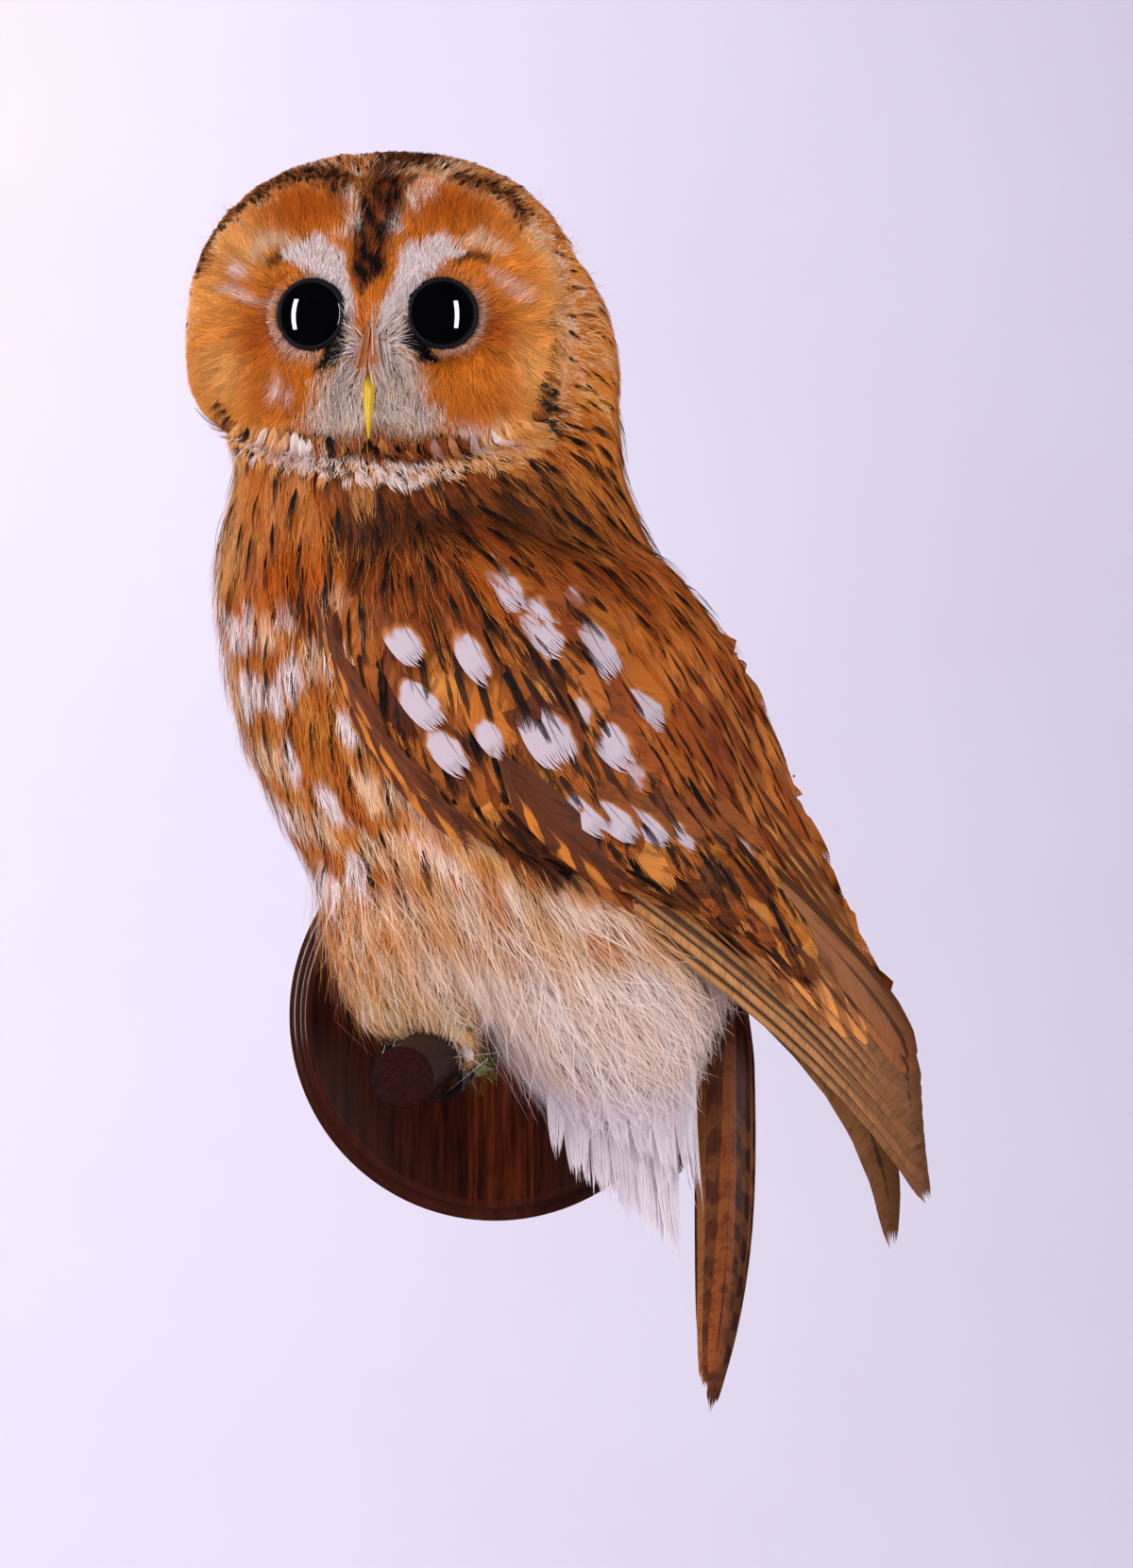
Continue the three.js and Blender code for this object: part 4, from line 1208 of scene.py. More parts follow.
print("the ruff spans", RUFF[-1][0] - RUFF[0][0], "mm")

# %% [markdown]
# The back is rufous with dark streaks. The breast and flanks are white and cream blotches
# parted by orange bars: they stand in staggered columns, like the feathers that carry
# them. Thighs and vent fade to cream fluff. A ragged line from throat to tail parts
# belly from back.

# %% The body's colours
BELLY_EDGE = ((-80, 120), (13, 95), (38, 50), (60, -2), (86, -22), (118, -42), (143, -52), (185, -46))
COLUMN_WIDTH = 11.5
BLOTCH_HEIGHT = 20


def belly_share(points):
    """1 on breast, belly and vent, 0 on back and wings, soft along the wing's lower edge."""
    x, _, z = (points / MM).T
    high = step(z, 104, 128)
    edge = np.interp(z, *zip(*BELLY_EDGE)) + high * 26 * (patchy(points, 9, 11) - 0.5)
    return 1 - step(x - edge, -6 - 8 * high, 4 + 6 * high)


def belly_tone(points, random):
    x, y, z = (points / MM).T
    frayed = random.normal(0, 0.12, (2, len(points)))
    around = (x + np.abs(y - MID_Y / MM) + 0.22 * z + 2.5 * np.sin(z / 13 + 1) + frayed[0]
              + 2.4 * (patchy(points, 4, 2) - 0.5)) / COLUMN_WIDTH
    column = np.floor(around)
    down = (z + 9.5 * (column % 2) + 5 * np.sin(column * 2.4) + frayed[1]
            + 5 * (patchy(points, 5, 3) - 0.5)) / BLOTCH_HEIGHT
    row = np.floor(down)
    # a column and row make the same luck each time, so a blotch is one colour all over
    luck = np.modf(np.abs(np.sin(column * 12.9898 + row * 78.233)) * 437.585)[0]
    other = np.modf(luck * 97.3)[0]
    side = np.abs(around - column - 0.5)
    fall = down - row
    white = step(0.46 - side, 0, 0.08) * step(fall, 0.16, 0.24) * (1 - step(fall, 0.72, 0.8))
    throat = step(z, 130, 146)
    white = white * (1 - 0.85 * throat) * (luck > 0.1)
    light = 0.7 * throat * (1 - step(x, -80, -70)) + 0.4 * throat * step(patchy(points, 3.5, 9), 0.6, 0.7)
    thigh = step(x, -34, -10) * (1 - step(z, 84, 108))
    vent_line = z + 0.9 * (x + 46)
    soft = np.maximum(thigh, 1 - step(vent_line, -34, -8))
    return layers(
        "C0621A",
        ("DA8C38", patchy(points, 9, 6)),
        (pick(other, 0.6, "F6E6E2", "F4CCA2"), white),
        ("C46A1C", throat * 0.6),
        ("DDA868", light),
        ("C85C06", 1.3 * hill(x, z, -60, 140, 15, 13)),
        ("E6AE6C", soft * 0.9),
        ("F6E4D8", soft * (0.75 * (1 - step(z, 0, 50)) + 0.6 * step(patchy(points, 9, 4), 0.4, 0.75))),
        ("D0812E", 0.8 * soft * step(patchy(points, 7, 5), 0.62, 0.76) * step(z, 10, 30)),
        ("D8954C", 0.6 * soft * hill(x, z, -20, 6, 12, 16)),
        ("E8DAE2", (1 - step(z, -34, -10)) * 0.9))


def body_colours(points, random):
    x, _, z = (points / MM).T
    chance, other = random.random((2, len(points)))
    belly = belly_share(points)
    back_edge = step(x - (35.7 + (174 - z) * 0.524), -14, -2)
    neck = step(z, 150, 172) * step(x, -20, 15)
    shadow = step(z, 146, 158) * (1 - step(z, 172, 180)) * (1 - step(x, 0, 34)) * step(x, -54, -40)
    back = layers(
        "C05C12",
        ("7C3206", patchy(points, 16, 3)),
        ("CC7C34", (chance < 0.22) * 0.8),
        ("C8762E", 0.7 * back_edge * (other < 0.6)),
        (pick(chance, 0.75, "E68C34", "A85416"), 0.9 * neck),
        ("3A1A0C", 0.9 * shadow),
        ("D8741A", 0.8 * hill(x, z, 30, 128, 22, 16) * (chance < 0.6)))
    tone = back * (1 - belly[:, None]) + belly_tone(points, random) * belly[:, None]
    streak = (1 - belly) * (chance > 0.12) + 0.45 * belly * (1 - step(z, -14, 0))
    return tone, marked(len(points), streak, 0.15 * (1 - belly), 0.5 * (1 - belly))


def covert_colours(points, random):
    """The folded wing between its white spots: rufous and dark brown, mottled."""
    chance, other = random.random((2, len(points)))
    tone = layers("8A3E0E", ("C06C20", patchy(points, 10, 12)), ("4E2008", (chance < 0.3) * 0.8),
                  ("D88C3C", (chance > 0.84) * 0.8))
    return tone, marked(len(points), 0.95, (other > 0.7) * 0.6, 0.5)


def white_base(points, random):
    """For pieces painted point by point: plain white with a feather's own brightness."""
    bright = 0.84 + 0.22 * random.random((len(points), 1))
    return np.ones((len(points), 3)) * bright, marked(len(points))


print("belly on", round(100 * belly_share(skin_co).mean()), "% of the skin")

# %% [markdown]
# The skin under the coat is never bare in view, but gaps show it, so it wears the same
# colours, a little darker, as down would be in the shade of the feathers.

# %% Colour the skin
random = np.random.default_rng(11)
head_share = step(skin_co[:, 2] / MM, 172, 184)[:, None]
body_under = body_colours(skin_co, random)[0]
head_under = head_locks(skin_co, random)[0]
under = body_under * (1 - head_share) + head_under * head_share
under = under * (1 - on_face[:, None]) + face_colours(skin_co, random) * on_face[:, None]
under = spread(under, edges, 2) * 0.72
layer = skin_mesh.attributes.new("tone", "FLOAT_COLOR", "POINT")
opaque = np.column_stack([under, np.ones(len(under))])
layer.data.foreach_set("color", opaque.astype(np.float32).ravel())
down = Finish("skin_down", Roughness=0.9)
tufts = down.noise(down.place(), 900, 4, 0.7)
gap_shade = (0.02, 0.01, 0.008, 1)
down.feed(Base_Color=down.mix(down.attribute("tone"), gap_shade, tufts.between(0.45, 0.8) * 0.5))
down.bump(tufts, 0.7, 0.0008)
dress(skin, down, "pale_plumage", *FLESH)
print("the skin's mean colour is", under.mean(0).round(3))

# %% [markdown]
# ## The finish of a feather
#
# A vane is rows of fine barbs that sweep from the shaft to the edge and towards the tip.
# Two noises stretched along the barbs give the hairline texture, in colour and in bump.
# The markings are masks in the vane's own map: u runs across the vane, v along it.

# %% Plumage, strands and flight feathers
BLACK = (0, 0, 0, 1)


def plumage(name, sweep, barbs, bar_count, streak_width, dark, bar_tint, roughness=0.6,
            bar_soft=0.35, bars_from=None, inner=None):
    """Barbs swept back by sweep, so many to the vane, under its bars, streak and spot.
    Bars_from keeps the bars to one web, inner darkens the web that the next vane covers and also
    turns on painted shade: darker towards the tip on that side, and a thin shadow line along the outer
    edge."""
    made = Finish(name, Roughness=roughness, Specular_IOR_Level=0.2, Diffuse_Roughness=0.3)
    across, along = made.split(made.node("ShaderNodeUVMap", {"uv_map": "Vane"}))[:2]
    tone = made.attribute("tone")
    chance = made.attribute("tone", "Alpha")
    streaks, bars, spots = made.split(made.attribute("marks"))
    mottles = made.attribute("marks", "Alpha")
    off = (across * 2 - 1).size()
    swept = along - off * sweep
    barb_map = made.joined(off * 1.3, swept * barbs, chance * 71)
    fine = made.noise(barb_map, 1.0, 2, 0.7)
    coarse = made.noise(made.mapped(barb_map, (1.2, 0.22, 1)), 1.0, 2, 0.5)
    blots = made.noise(made.joined(across * 3.2, along * 5, chance * 37), 1.0, 1, 0.5) - 0.5
    ragged = (coarse - 0.5) * 0.5 + (fine - 0.5) * 0.3
    colour = made.mix(tone, BLACK, fine.between(0.45, 0.85) * 0.4)
    if inner is not None:
        border = across + blots * 0.07 + chance * 0.07 - 0.035
        covered = 1 - border.between(inner, inner + 0.05)
        # painted shade: the covered side darkens towards the tip, so that each blade looks rounded
        rounding_shade = (1 - across.between(0.1, 0.8)) * along.between(0.55, 0.8)
        colour = made.mix(colour, dark, covered * (0.85 - along.between(0.6, 0.85) * 0.6))
        colour = made.mix(colour, dark, rounding_shade * 0.6)
        # painted shadow: a thin dark line along the vane's outer edge, as shadow between neighbouring
        # vanes
        colour = made.mix(colour, dark, across.between(0.95, 0.99) * 0.5)
    waves = swept * bar_count + ragged * 0.35 + blots * 0.7 + chance * 0.8
    crest = (waves * (2 * math.pi)).wave() + ragged + blots
    bar = crest.between(0.1 - bar_soft, 0.1 + bar_soft) * bars
    if bars_from is not None:
        bar = bar * across.between(bars_from - 0.04, bars_from + 0.06)
    colour = made.mix(colour, bar_tint, bar * along.between(0.1, 0.3))
    mottle = (ragged + coarse - 0.5 + blots * 0.7).between(0.02, 0.22)
    colour = made.mix(colour, dark, mottle * mottles * 0.75)
    wide = along.between(0.2, 0.8) * (1 - along.between(0.88, 1.0)) * streak_width
    streak = (wide - off + ragged * 0.22 + blots * 0.12).between(0.0, 0.09)
    colour = made.mix(colour, dark, streak * streaks)
    spot = ((across - 0.72).size() * 2.7) ** 2 + ((along - 0.76).size() * 3.8) ** 2
    spot = spot + blots * 1.6 + ragged * 0.5 - spots * 0.8
    spotted_here = spots.between(0.1, 0.5)
    fringe = (1 - spot.between(0.0, 0.5)) * spotted_here
    colour = made.mix(colour, tint("C07430"), fringe * 0.8)
    colour = made.mix(colour, tint("CFC0C8"), (1 - spot.between(-0.35, 0.1)) * spotted_here)
    quill = (0.045 - off).between(0.0, 0.03) * (1 - along.between(0.6, 0.95))
    colour = made.mix(colour, made.mix(tone, dark, 0.45), quill * 0.6)
    made.feed(Base_Color=colour)
    made.bump(fine + coarse * 0.5 + quill * 0.8, 0.35, 0.0004)
    return made


body_plumage = plumage("body_plumage", 0.5, 26, 2.6, 0.2, tint("1A0E0A"), tint("B4601C"))
breast_plumage = plumage("breast_plumage", 0.35, 20, 3.6, 0.15, tint("1A0E0A"), tint("B85E16"),
                         bar_soft=0.25)
wing_plumage = plumage("wing_plumage", 0.3, 40, 4.5, 0.16, tint("241209"), tint("D8802C"),
                       bars_from=0.7)
quill_plumage = plumage("quill_plumage", 0.03, 190, 6.5, 0.1, tint("3A2014"), tint("6A3414"),
                        roughness=0.5, inner=0.87)
secondary_plumage = plumage("secondary_plumage", 0.12, 60, 7.0, 0.14, tint("3A1A0A"),
                            tint("7A3A14"), roughness=0.5, bar_soft=0.4, inner=0.2)
tail_plumage = plumage("tail_plumage", 0.02, 190, 9.0, 0.1, tint("1E0F0A"), tint("9A5A28"),
                       roughness=0.5, inner=0.16)
vent_plumage = plumage("vent_plumage", 0.5, 40, 3.0, 0.06, tint("4A3A3C"), tint("C0A0A0"))

hair = Finish("face_hair", Roughness=0.7, Specular_IOR_Level=0.15)
own_shade = hair.attribute("tone", "Alpha").between(0.3, 1.0) * 0.16
hair.feed(Base_Color=hair.mix(hair.attribute("tone"), BLACK, own_shade))
print("the wing's finish has", len(wing_plumage.tree.nodes), "nodes")

# %% [markdown]
# ## The coat
#
# Masks over the skin's faces say where each kind of feather grows. The face comes first:
# tens of thousands of hair-fine feathers, so short that the eye reads them as fur. They
# lie almost flat and lengthen away from the eyes.

# %% Zones of the skin
f_right, f_up, f_forward = face_coordinates(face_middle)
f_share = disc_share(f_right, f_up)
f_on_face = on_face[quads].mean(1)
f_part = part[quads[:, 0]]
x_face, _, z_face = (face_middle / MM).T


def from_solid(*names):
    """1 on the faces that came from these solids."""
    return np.isin(f_part, [FLESH.index(n) for n in names]) * 1.0


off_face = 1 - step(f_on_face, 0.3, 0.6)
f_belly = belly_share(face_middle)
head_zone = off_face * from_solid("head")
neck_zone = off_face * from_solid("neck")
wing_zone = from_solid("wing_left", "wing_right")
leg_zone = from_solid("leg_left", "leg_right", "foot_left", "foot_right")
shank_zone = from_solid("leg_left", "leg_right")
trunk_zone = from_solid("trunk")
breast_zone = trunk_zone * f_belly
print("breast and belly:", round((breast_zone * face_area).sum() * 1e4), "cm2")

# %% [markdown]
# The face's hair is dense, so it is made as three pieces. Each strand leans a little with
# its neighbours and turns a little on its own, and is darker at its root than at its tip.

# %% The face's hair
FACE_DENSITY = 640


def ruffled(normals, amount, random):
    """The same normals, each strand's own turned a little, to catch the light apart."""
    return unit(normals + amount * random.normal(size=(len(normals), 1, 3)))


lens_reach = np.minimum(*[round_the_lens(face_middle, side)[1] for side in (1, -1)]) / MM
open_lid = step(lens_reach, 10.3, 10.9)
for k in range(3):
    roots, faces = scatter(f_on_face * open_lid * FACE_DENSITY, 21 + k)
    r, u, _ = face_coordinates(roots)
    random = np.random.default_rng(31 + k)
    from_eye = np.hypot(np.abs(r) - EYE_SPREAD, u)
    length = 3.2 + 6.5 * step(from_eye, 11, 26) + 4.0 * whisker_fan(r, u)
    length *= 0.6 + 0.8 * random.random(len(r))
    # below the bill the hair shortens, so that it ends where the ruff begins
    chin = step(-u, 20, 33) * (np.abs(r) < 26)
    room = np.where(u > -31.5, 1.4 + 0.85 * np.clip(u + 31.5, 0, 20), 3.6)
    length = length * (1 - chin) + np.minimum(length, room) * chin
    sweep_aside = 0.6 * (patchy(roots, 6, 9) - 0.5) + 0.5 * (patchy(roots, 2.3, 4) - 0.5)
    sweep_aside += 0.16 * random.normal(size=len(r))
    places, normals, patch = lay(roots, faces, length, 3, veer=sweep_aside)
    tone = face_colours(places[:, 1], random)
    width = 0.09 + 0.07 * random.random(len(r))
    high = (0.3 + 1.3 * random.random(len(r)))[:, None] * np.array([0.0, 0.9, 1.5])
    bright = (0.75 + 0.5 * random.random(len(r)) ** 1.5)[:, None]
    face_coat = Coat("face_hair_" + "abc"[k])
    face_coat.add(strands[2], places, ruffled(normals, 0.22, random), patch, width, high,
                  tone * bright * 0.8, tone * bright * 1.2, marked(len(r)), seed=51 + k)
    face_coat.join(hair, "rufous_plumage")

# %% [markdown]
# Stiff bristles spring from beside the bill's root and hang over its sides in a fan. Skin
# and bill together make the ground that they must clear, found by rays from in front.

# %% Bristles over the root of the bill
BRISTLES = 2600
grounds = [skin_tree] + [tree_of(bpy.data.objects[name].data)
                         for name in ("bill_upper_horn", "bill_lower_horn")]


def front_of_face(right, up):
    """How far forward skin or bill reach at each place of the face, in mm."""
    found = []
    for r, u in zip(right.ravel(), up.ravel()):
        start = Vector(FACE + (RIGHT * r + UP * u + FORWARD * 70) * MM)
        hits = [tree.ray_cast(start, Vector(-FORWARD)) for tree in grounds]
        found.append(max([70 - hit[3] / MM for hit in hits if hit[0] is not None], default=5.0))
    return np.array(found).reshape(right.shape)


random = np.random.default_rng(77)
side = np.where(random.random(BRISTLES) < 0.5, -1.0, 1.0)[:, None]
out = 0.2 + 7.5 * random.random(BRISTLES) ** 1.2
root_up = -1.5 - 14 * random.random(BRISTLES) ** 0.8
tip_up = np.minimum(-(17.5 + 2.3 * out + 5 * random.random(BRISTLES)), root_up - 5)
tip_up = np.maximum(tip_up, -32.5 - 2 * random.random(BRISTLES))
t = np.linspace(0, 1, 6)[None, :]
b_right = -1.0 + side * (out[:, None] * (1 + 0.7 * t) + 1.6 * t * t)
b_right = b_right + 0.5 * random.normal(size=(BRISTLES, 1)) * t
b_up = root_up[:, None] + (tip_up - root_up)[:, None] * t
b_front = front_of_face(b_right, b_up)
for _ in range(3):
    b_front[:, 1:-1] = np.maximum(b_front[:, 1:-1], 0.5 * (b_front[:, :-2] + b_front[:, 2:]))
b_front += 0.2 + (0.5 + 0.9 * random.random((BRISTLES, 1))) * t
places = FACE + (b_right[..., None] * RIGHT + b_up[..., None] * UP + b_front[..., None] * FORWARD) * MM
normals = np.broadcast_to(FORWARD, places.shape)
roots_at = [skin_tree.find_nearest(Vector(q))[2] for q in places[:, 0]]
tone = face_colours(places[:, 0] - UP * 6 * MM, random)
ginger = (out < 1.6) * (random.random(BRISTLES) < 0.6) * (root_up > -9)
tone = layers(tone, ("C9702C", ginger))
bristle_coat = Coat("bill_bristles")
bristle_coat.add(strands[5], places, ruffled(normals, 0.25, random), skin_uv[roots_at].mean(1),
                 0.1 + 0.05 * random.random(BRISTLES), 0.0, tone * 0.9, tone * 1.15,
                 marked(BRISTLES), seed=78)
bristle_coat.join(hair, "rufous_plumage")

# %% [markdown]
# Two functions dress the rest. One lays feathers: solid vanes on spaced roots, each
# rising from the skin through five heights. The other lays wisps: single strands whose
# locks lean together, for the soft edges that vanes alone can't give.

# %% Feathers and wisps
def per_root(measure, roots):
    """A measure for each root, from one number or from a function of the places."""
    return measure(roots) if callable(measure) else np.full(len(roots), float(measure))


def feathers(coat, patterns, density, gap, seed, length, width, lifts, colours, veer=0.12,
             bow=1.0, painted=None):
    roots, faces = scatter(density, seed, gap)
    count = len(roots)
    random = np.random.default_rng(seed + 100)
    tone, marks = colours(roots, random)
    size = 0.85 + 0.3 * random.random(count)
    places, normals, patch = lay(roots, faces, per_root(length, roots) * size, len(lifts), veer,
                                 seed + 200)
    wide = per_root(width, roots) * size
    hand = np.where(normals[:, 0, 1] > 0, -1.0, 1.0)
    bright = (0.9 + 0.2 * random.random(count))[:, None]
    kind = random.integers(0, len(patterns), count)
    lift = (0.88 + 0.24 * random.random(count))[:, None] * np.array(lifts)
    for k, pattern in enumerate(patterns):
        take = kind == k
        coat.add(pattern, places[take], normals[take], patch[take], wide[take], lift[take],
                 (tone * bright * 0.85)[take], (tone * bright * 1.15)[take], marks[take],
                 seed + 300 + k, bow, hand=hand[take], painted=painted)
    print(coat.name, count, "feathers")


def wisps(name, density, seed, length, half_width, lifts, colours, veer=0.3,
          slot="pale_plumage", rise=0.8, painted=None, curl=0.0, clump=0.0):
    roots, faces = scatter(density, seed)
    count = len(roots)
    random = np.random.default_rng(seed)
    long = per_root(length, roots) * (0.6 + 0.8 * random.random(count))
    places, normals, patch = lay(roots, faces, long, 5, veer, seed + 1, curl, clump)
    tone = colours(roots, random)[0]
    loft = (1 - rise / 2 + rise * random.random(count))[:, None]
    heights = np.interp(np.linspace(0, 3, 5), np.arange(4), lifts)
    wide = half_width * (0.7 + 0.6 * random.random(count))
    piece = Coat(name)
    piece.add(strands[3], places, normals, patch, wide, loft * heights, tone * 0.95, tone * 1.2,
              marked(count), seed + 2, painted=painted)
    piece.join(hair, slot)
    print(name, count, "strands")


# %% [markdown]
# Head and nape wear small soft feathers, flecked with dark dashes that thicken on the
# crown, under a film of hair. The mantle behind them is longer and streaked.

# %% Head and neck
def near_face(points):
    return step(face_coordinates(points)[2], -30, 15)


crown_zone = head_zone * (2.2 + 5 * step(f_up, 34, 46))
head_coat = Coat("head_feathers")
feathers(head_coat, small, head_zone * 20, 2.3, 61, lambda p: 16 - 5 * near_face(p),
         lambda p: 3.0 - 0.8 * near_face(p), (0.5, 1.1, 1.7, 2.2, 2.5), head_colours)
feathers(head_coat, dashes, crown_zone, 4.2, 70, 13, 0.6, (1.2, 2.0, 2.4, 2.5, 2.4),
         fleck_colours, veer=0.08)
head_coat.join(body_plumage, "rufous_plumage")
wisps("head_wisps", head_zone * 85, 66, lambda p: 9 - 3.5 * near_face(p), 0.11,
      (0.9, 1.7, 2.2, 2.1), head_locks, veer=0.15, slot="rufous_plumage", rise=0.5, curl=0.05,
      clump=0.5)

mantle_zone = neck_zone + (trunk_zone + wing_zone) * (1 - f_belly) * step(z_face, 118, 140)
neck_coat = Coat("neck_feathers")
feathers(neck_coat, medium, neck_zone * 9, 5.0, 62, 24, 4.6, (0.9, 1.5, 2.0, 2.3, 2.4),
         body_colours)
feathers(neck_coat, dashes, mantle_zone * (1 - 0.6 * f_belly) * 2.8, 5.4, 78, 18, 0.9,
         (2.0, 3.1, 3.7, 3.9, 3.8), streak_colours, veer=0.08)
neck_coat.join(breast_plumage, "rufous_plumage")
wisps("neck_hair", mantle_zone * 42, 77, 11, 0.09, (1.6, 2.5, 2.9, 3.0), body_colours,
      veer=0.12, slot="rufous_plumage", rise=0.5, curl=0.05, clump=0.6)

# %% [markdown]
# The back's feathers are broad and lie close. Breast, belly and vent are painted point by
# point, so that a blotch runs on over several feathers, and they loosen from the breast's
# firm vanes to the thighs' fluff.

# %% Back, breast and belly
above_rows = z_face - (150 - (x_face + 8) * 1.1)
in_rows = wing_zone * (1 - step(above_rows, -4, 10)) * (1 - step(z_face, 128, 140))
back_zone = (trunk_zone * (1 - f_belly) + wing_zone) * (1 - in_rows)
back_coat = Coat("back_feathers")
feathers(back_coat, broad, back_zone * 7, 5.6, 63, 27, 4.4, (0.8, 1.3, 1.7, 2.0, 2.0),
         body_colours, veer=0.06, bow=2.6)
back_coat.join(body_plumage, "rufous_plumage")

upper = step(z_face, 25, 50)
thigh = step(x_face, -34, -12) * (1 - step(z_face, 88, 112))
streak_zone = breast_zone * step(z_face - 0.9 * (-46 - x_face), -26, -8) * (1 - thigh)
breast_coat = Coat("breast_feathers")
feathers(breast_coat, medium, breast_zone * upper * 5, 7.2, 64, 34, 6.6,
         (1.2, 2.2, 3.0, 3.6, 3.9), white_base, veer=0.1, bow=1.6, painted=belly_tone)
feathers(breast_coat, dashes, streak_zone * 4, 7.0, 69, 19, 0.8, (3.0, 4.2, 4.9, 5.3, 5.4),
         streak_colours, veer=0.08)
breast_coat.join(breast_plumage, "pale_plumage")

thigh_zone = breast_zone * (1 - upper) * step(z_face, -14, 0)
vent_zone = breast_zone * (1 - step(z_face, -12, 4))
belly_coat = Coat("belly_feathers")
feathers(belly_coat, small, leg_zone * 20, 2.4, 68, 7, 2.0, (0.4, 0.8, 1.2, 1.5, 1.7),
         leg_colours, veer=0.2)
feathers(belly_coat, loose, thigh_zone * 8, 5.0, 65,
         lambda p: 12 + 18 * step(np.abs(p[:, 2] / MM + 4), 5, 25),
         lambda p: 3.2 + 2.4 * step(p[:, 2] / MM, 0, 20),
         (0.6, 1.6, 2.8, 4.0, 5.0), white_base, veer=0.2, painted=belly_tone)
feathers(belly_coat, pointed, vent_zone * 8, 5.0, 67, 30, 3.4, (0.8, 1.8, 2.8, 3.6, 4.2),
         white_base, veer=0.12, painted=belly_tone)
belly_coat.join(body_plumage, "pale_plumage")

# %% [markdown]
# The disc is framed by rows of tiny stiff feathers, beaded dark and buff above and pale at
# the sides. Below the bill the ruff's small blocks stand away from the throat, with a
# fringe of hair, and a few long whiskers stray over the rim.

# %% The rim of the disc and the ruff
round_rim = step(f_share, 0.99, 1.02) * (1 - step(f_share, 1.1, 1.16)) * step(f_forward, -10, 4)
rim_zone = round_rim * from_solid("head", "neck") * (f_up > -34)
f_marks = np.maximum.reduce([ribbon(f_right, f_up, path)
                             for path in (INNER_RIM, OUTER_RIM, PATCH_RIGHT, PATCH_LEFT)])
rim_coat = Coat("rim_feathers")
feathers(rim_coat, small, rim_zone * 90, 1.0, 71, 5.6, 1.2, (0.5, 1.1, 1.6, 2.0, 2.2),
         rim_colours, veer=0.15, bow=1.6)
feathers(rim_coat, small, f_marks * step(f_forward, -12, 0) * 60, 1.3, 73, 4.0, 0.62,
         (1.0, 1.7, 2.2, 2.5, 2.4), mark_colours, veer=0.35, bow=1.2)
rim_coat.join(body_plumage, "rufous_plumage")

ruff_zone = np.maximum.reduce([ribbon(f_right, f_up, path, 0.3) for path in (RUFF, CHESTNUT_BAND)])
ruff_zone = ruff_zone * step(f_forward, -26, -14)
ruff_coat = Coat("ruff_feathers")
feathers(ruff_coat, small, ruff_zone * 44, 1.5, 72, 9.0, 1.5, (1.2, 2.6, 3.8, 4.4, 4.4),
         ruff_colours, veer=0.25, bow=1.4)
ruff_coat.join(body_plumage, "pale_plumage")
wisps("ruff_hair", ruff_zone * 60, 74, 6.0, 0.09, (2.0, 3.6, 4.4, 4.4), ruff_colours, veer=0.25,
      curl=0.1, clump=0.8)
rim_sides = step(f_share, 0.99, 1.03) * (1 - step(f_share, 1.1, 1.2)) * head_zone
wisps("rim_whiskers", rim_sides * step(np.abs(f_right), 40, 50) * 5, 75, 8, 0.045,
      (0.8, 2.2, 3.8, 5.5), head_colours, veer=0.5, slot="rufous_plumage", curl=0.15)

# %% [markdown]
# ## The folded wing
#
# The wing's own feathers stand in rows. Each row is set out from side view by where its
# first and last feathers have their roots and tips, and its shafts are dropped onto the
# near wing by casting rays at it. The far wing gets the same feathers mirrored.

# %% Rows of wing feathers
FLIGHT_X = [6, 41, 81, 115, 136]
FLIGHT_Y = [MID_Y / MM - out for out in (42, 40, 33, 26, 20)]
STATIONS = 9


def near_surface(x, z):
    """How far out the near side of the skin is at each place seen from the side, in mm."""
    found = []
    for a, b in zip(x.ravel(), z.ravel()):
        hit = skin_tree.ray_cast(Vector((a * MM, -0.3, b * MM)), Vector((0, 1, 0)))
        found.append(hit[0].y / MM if hit[0] is not None else np.nan)
    return np.array(found).reshape(x.shape)


def row_lines(count, roots, tips, bend, lift, stack, trunk_y):
    """Centrelines of a row on the near side: count feathers between two roots and two tips.
    Where the row passes the skin, each line runs on towards the flight feathers' plane."""
    share = np.linspace(0, 1, count)[:, None]
    t = np.linspace(0, 1, STATIONS)
    root = np.array(roots[0]) + (np.array(roots[1]) - roots[0]) * share
    tip = np.array(tips[0]) + (np.array(tips[1]) - tips[0]) * share
    way = tip - root
    across = np.column_stack([way[:, 1], -way[:, 0]])
    arch = bend * 4 * t * (1 - t)
    line = root[:, None] + way[:, None] * t[:, None] + across[:, None] * arch[:, None]
    x, z = line[..., 0], line[..., 1]
    y = near_surface(x, z)
    beyond = np.interp(x, FLIGHT_X, FLIGHT_Y) if trunk_y is None else np.full(x.shape, trunk_y)
    for i in range(count):
        good = ~np.isnan(y[i])
        known = np.where(good, y[i], beyond[i])
        y[i] = np.polyval(np.polyfit(t, known, 2, w=np.where(good, 1.0, 0.6)), t)
    y -= lift[0] + (lift[1] - lift[0]) * t + stack * np.arange(count)[:, None]
    places = np.stack([x, y, z], -1) * MM
    normals = np.array([[face_normal[skin_tree.find_nearest(Vector(place))[2]] for place in line]
                        for line in places])
    outwards = unit(normals.mean(1, keepdims=True) + np.array([0, -1.4, 0]))
    return places, outwards * np.ones((1, STATIONS, 1))


def rolled(places, normals, degrees):
    """Normals turned about the shafts, so that each vane's lower edge lies over the next."""
    way = unit(np.gradient(places, axis=1))
    turn = math.radians(degrees)
    return unit(normals * math.cos(turn) - np.cross(way, normals) * math.sin(turn))


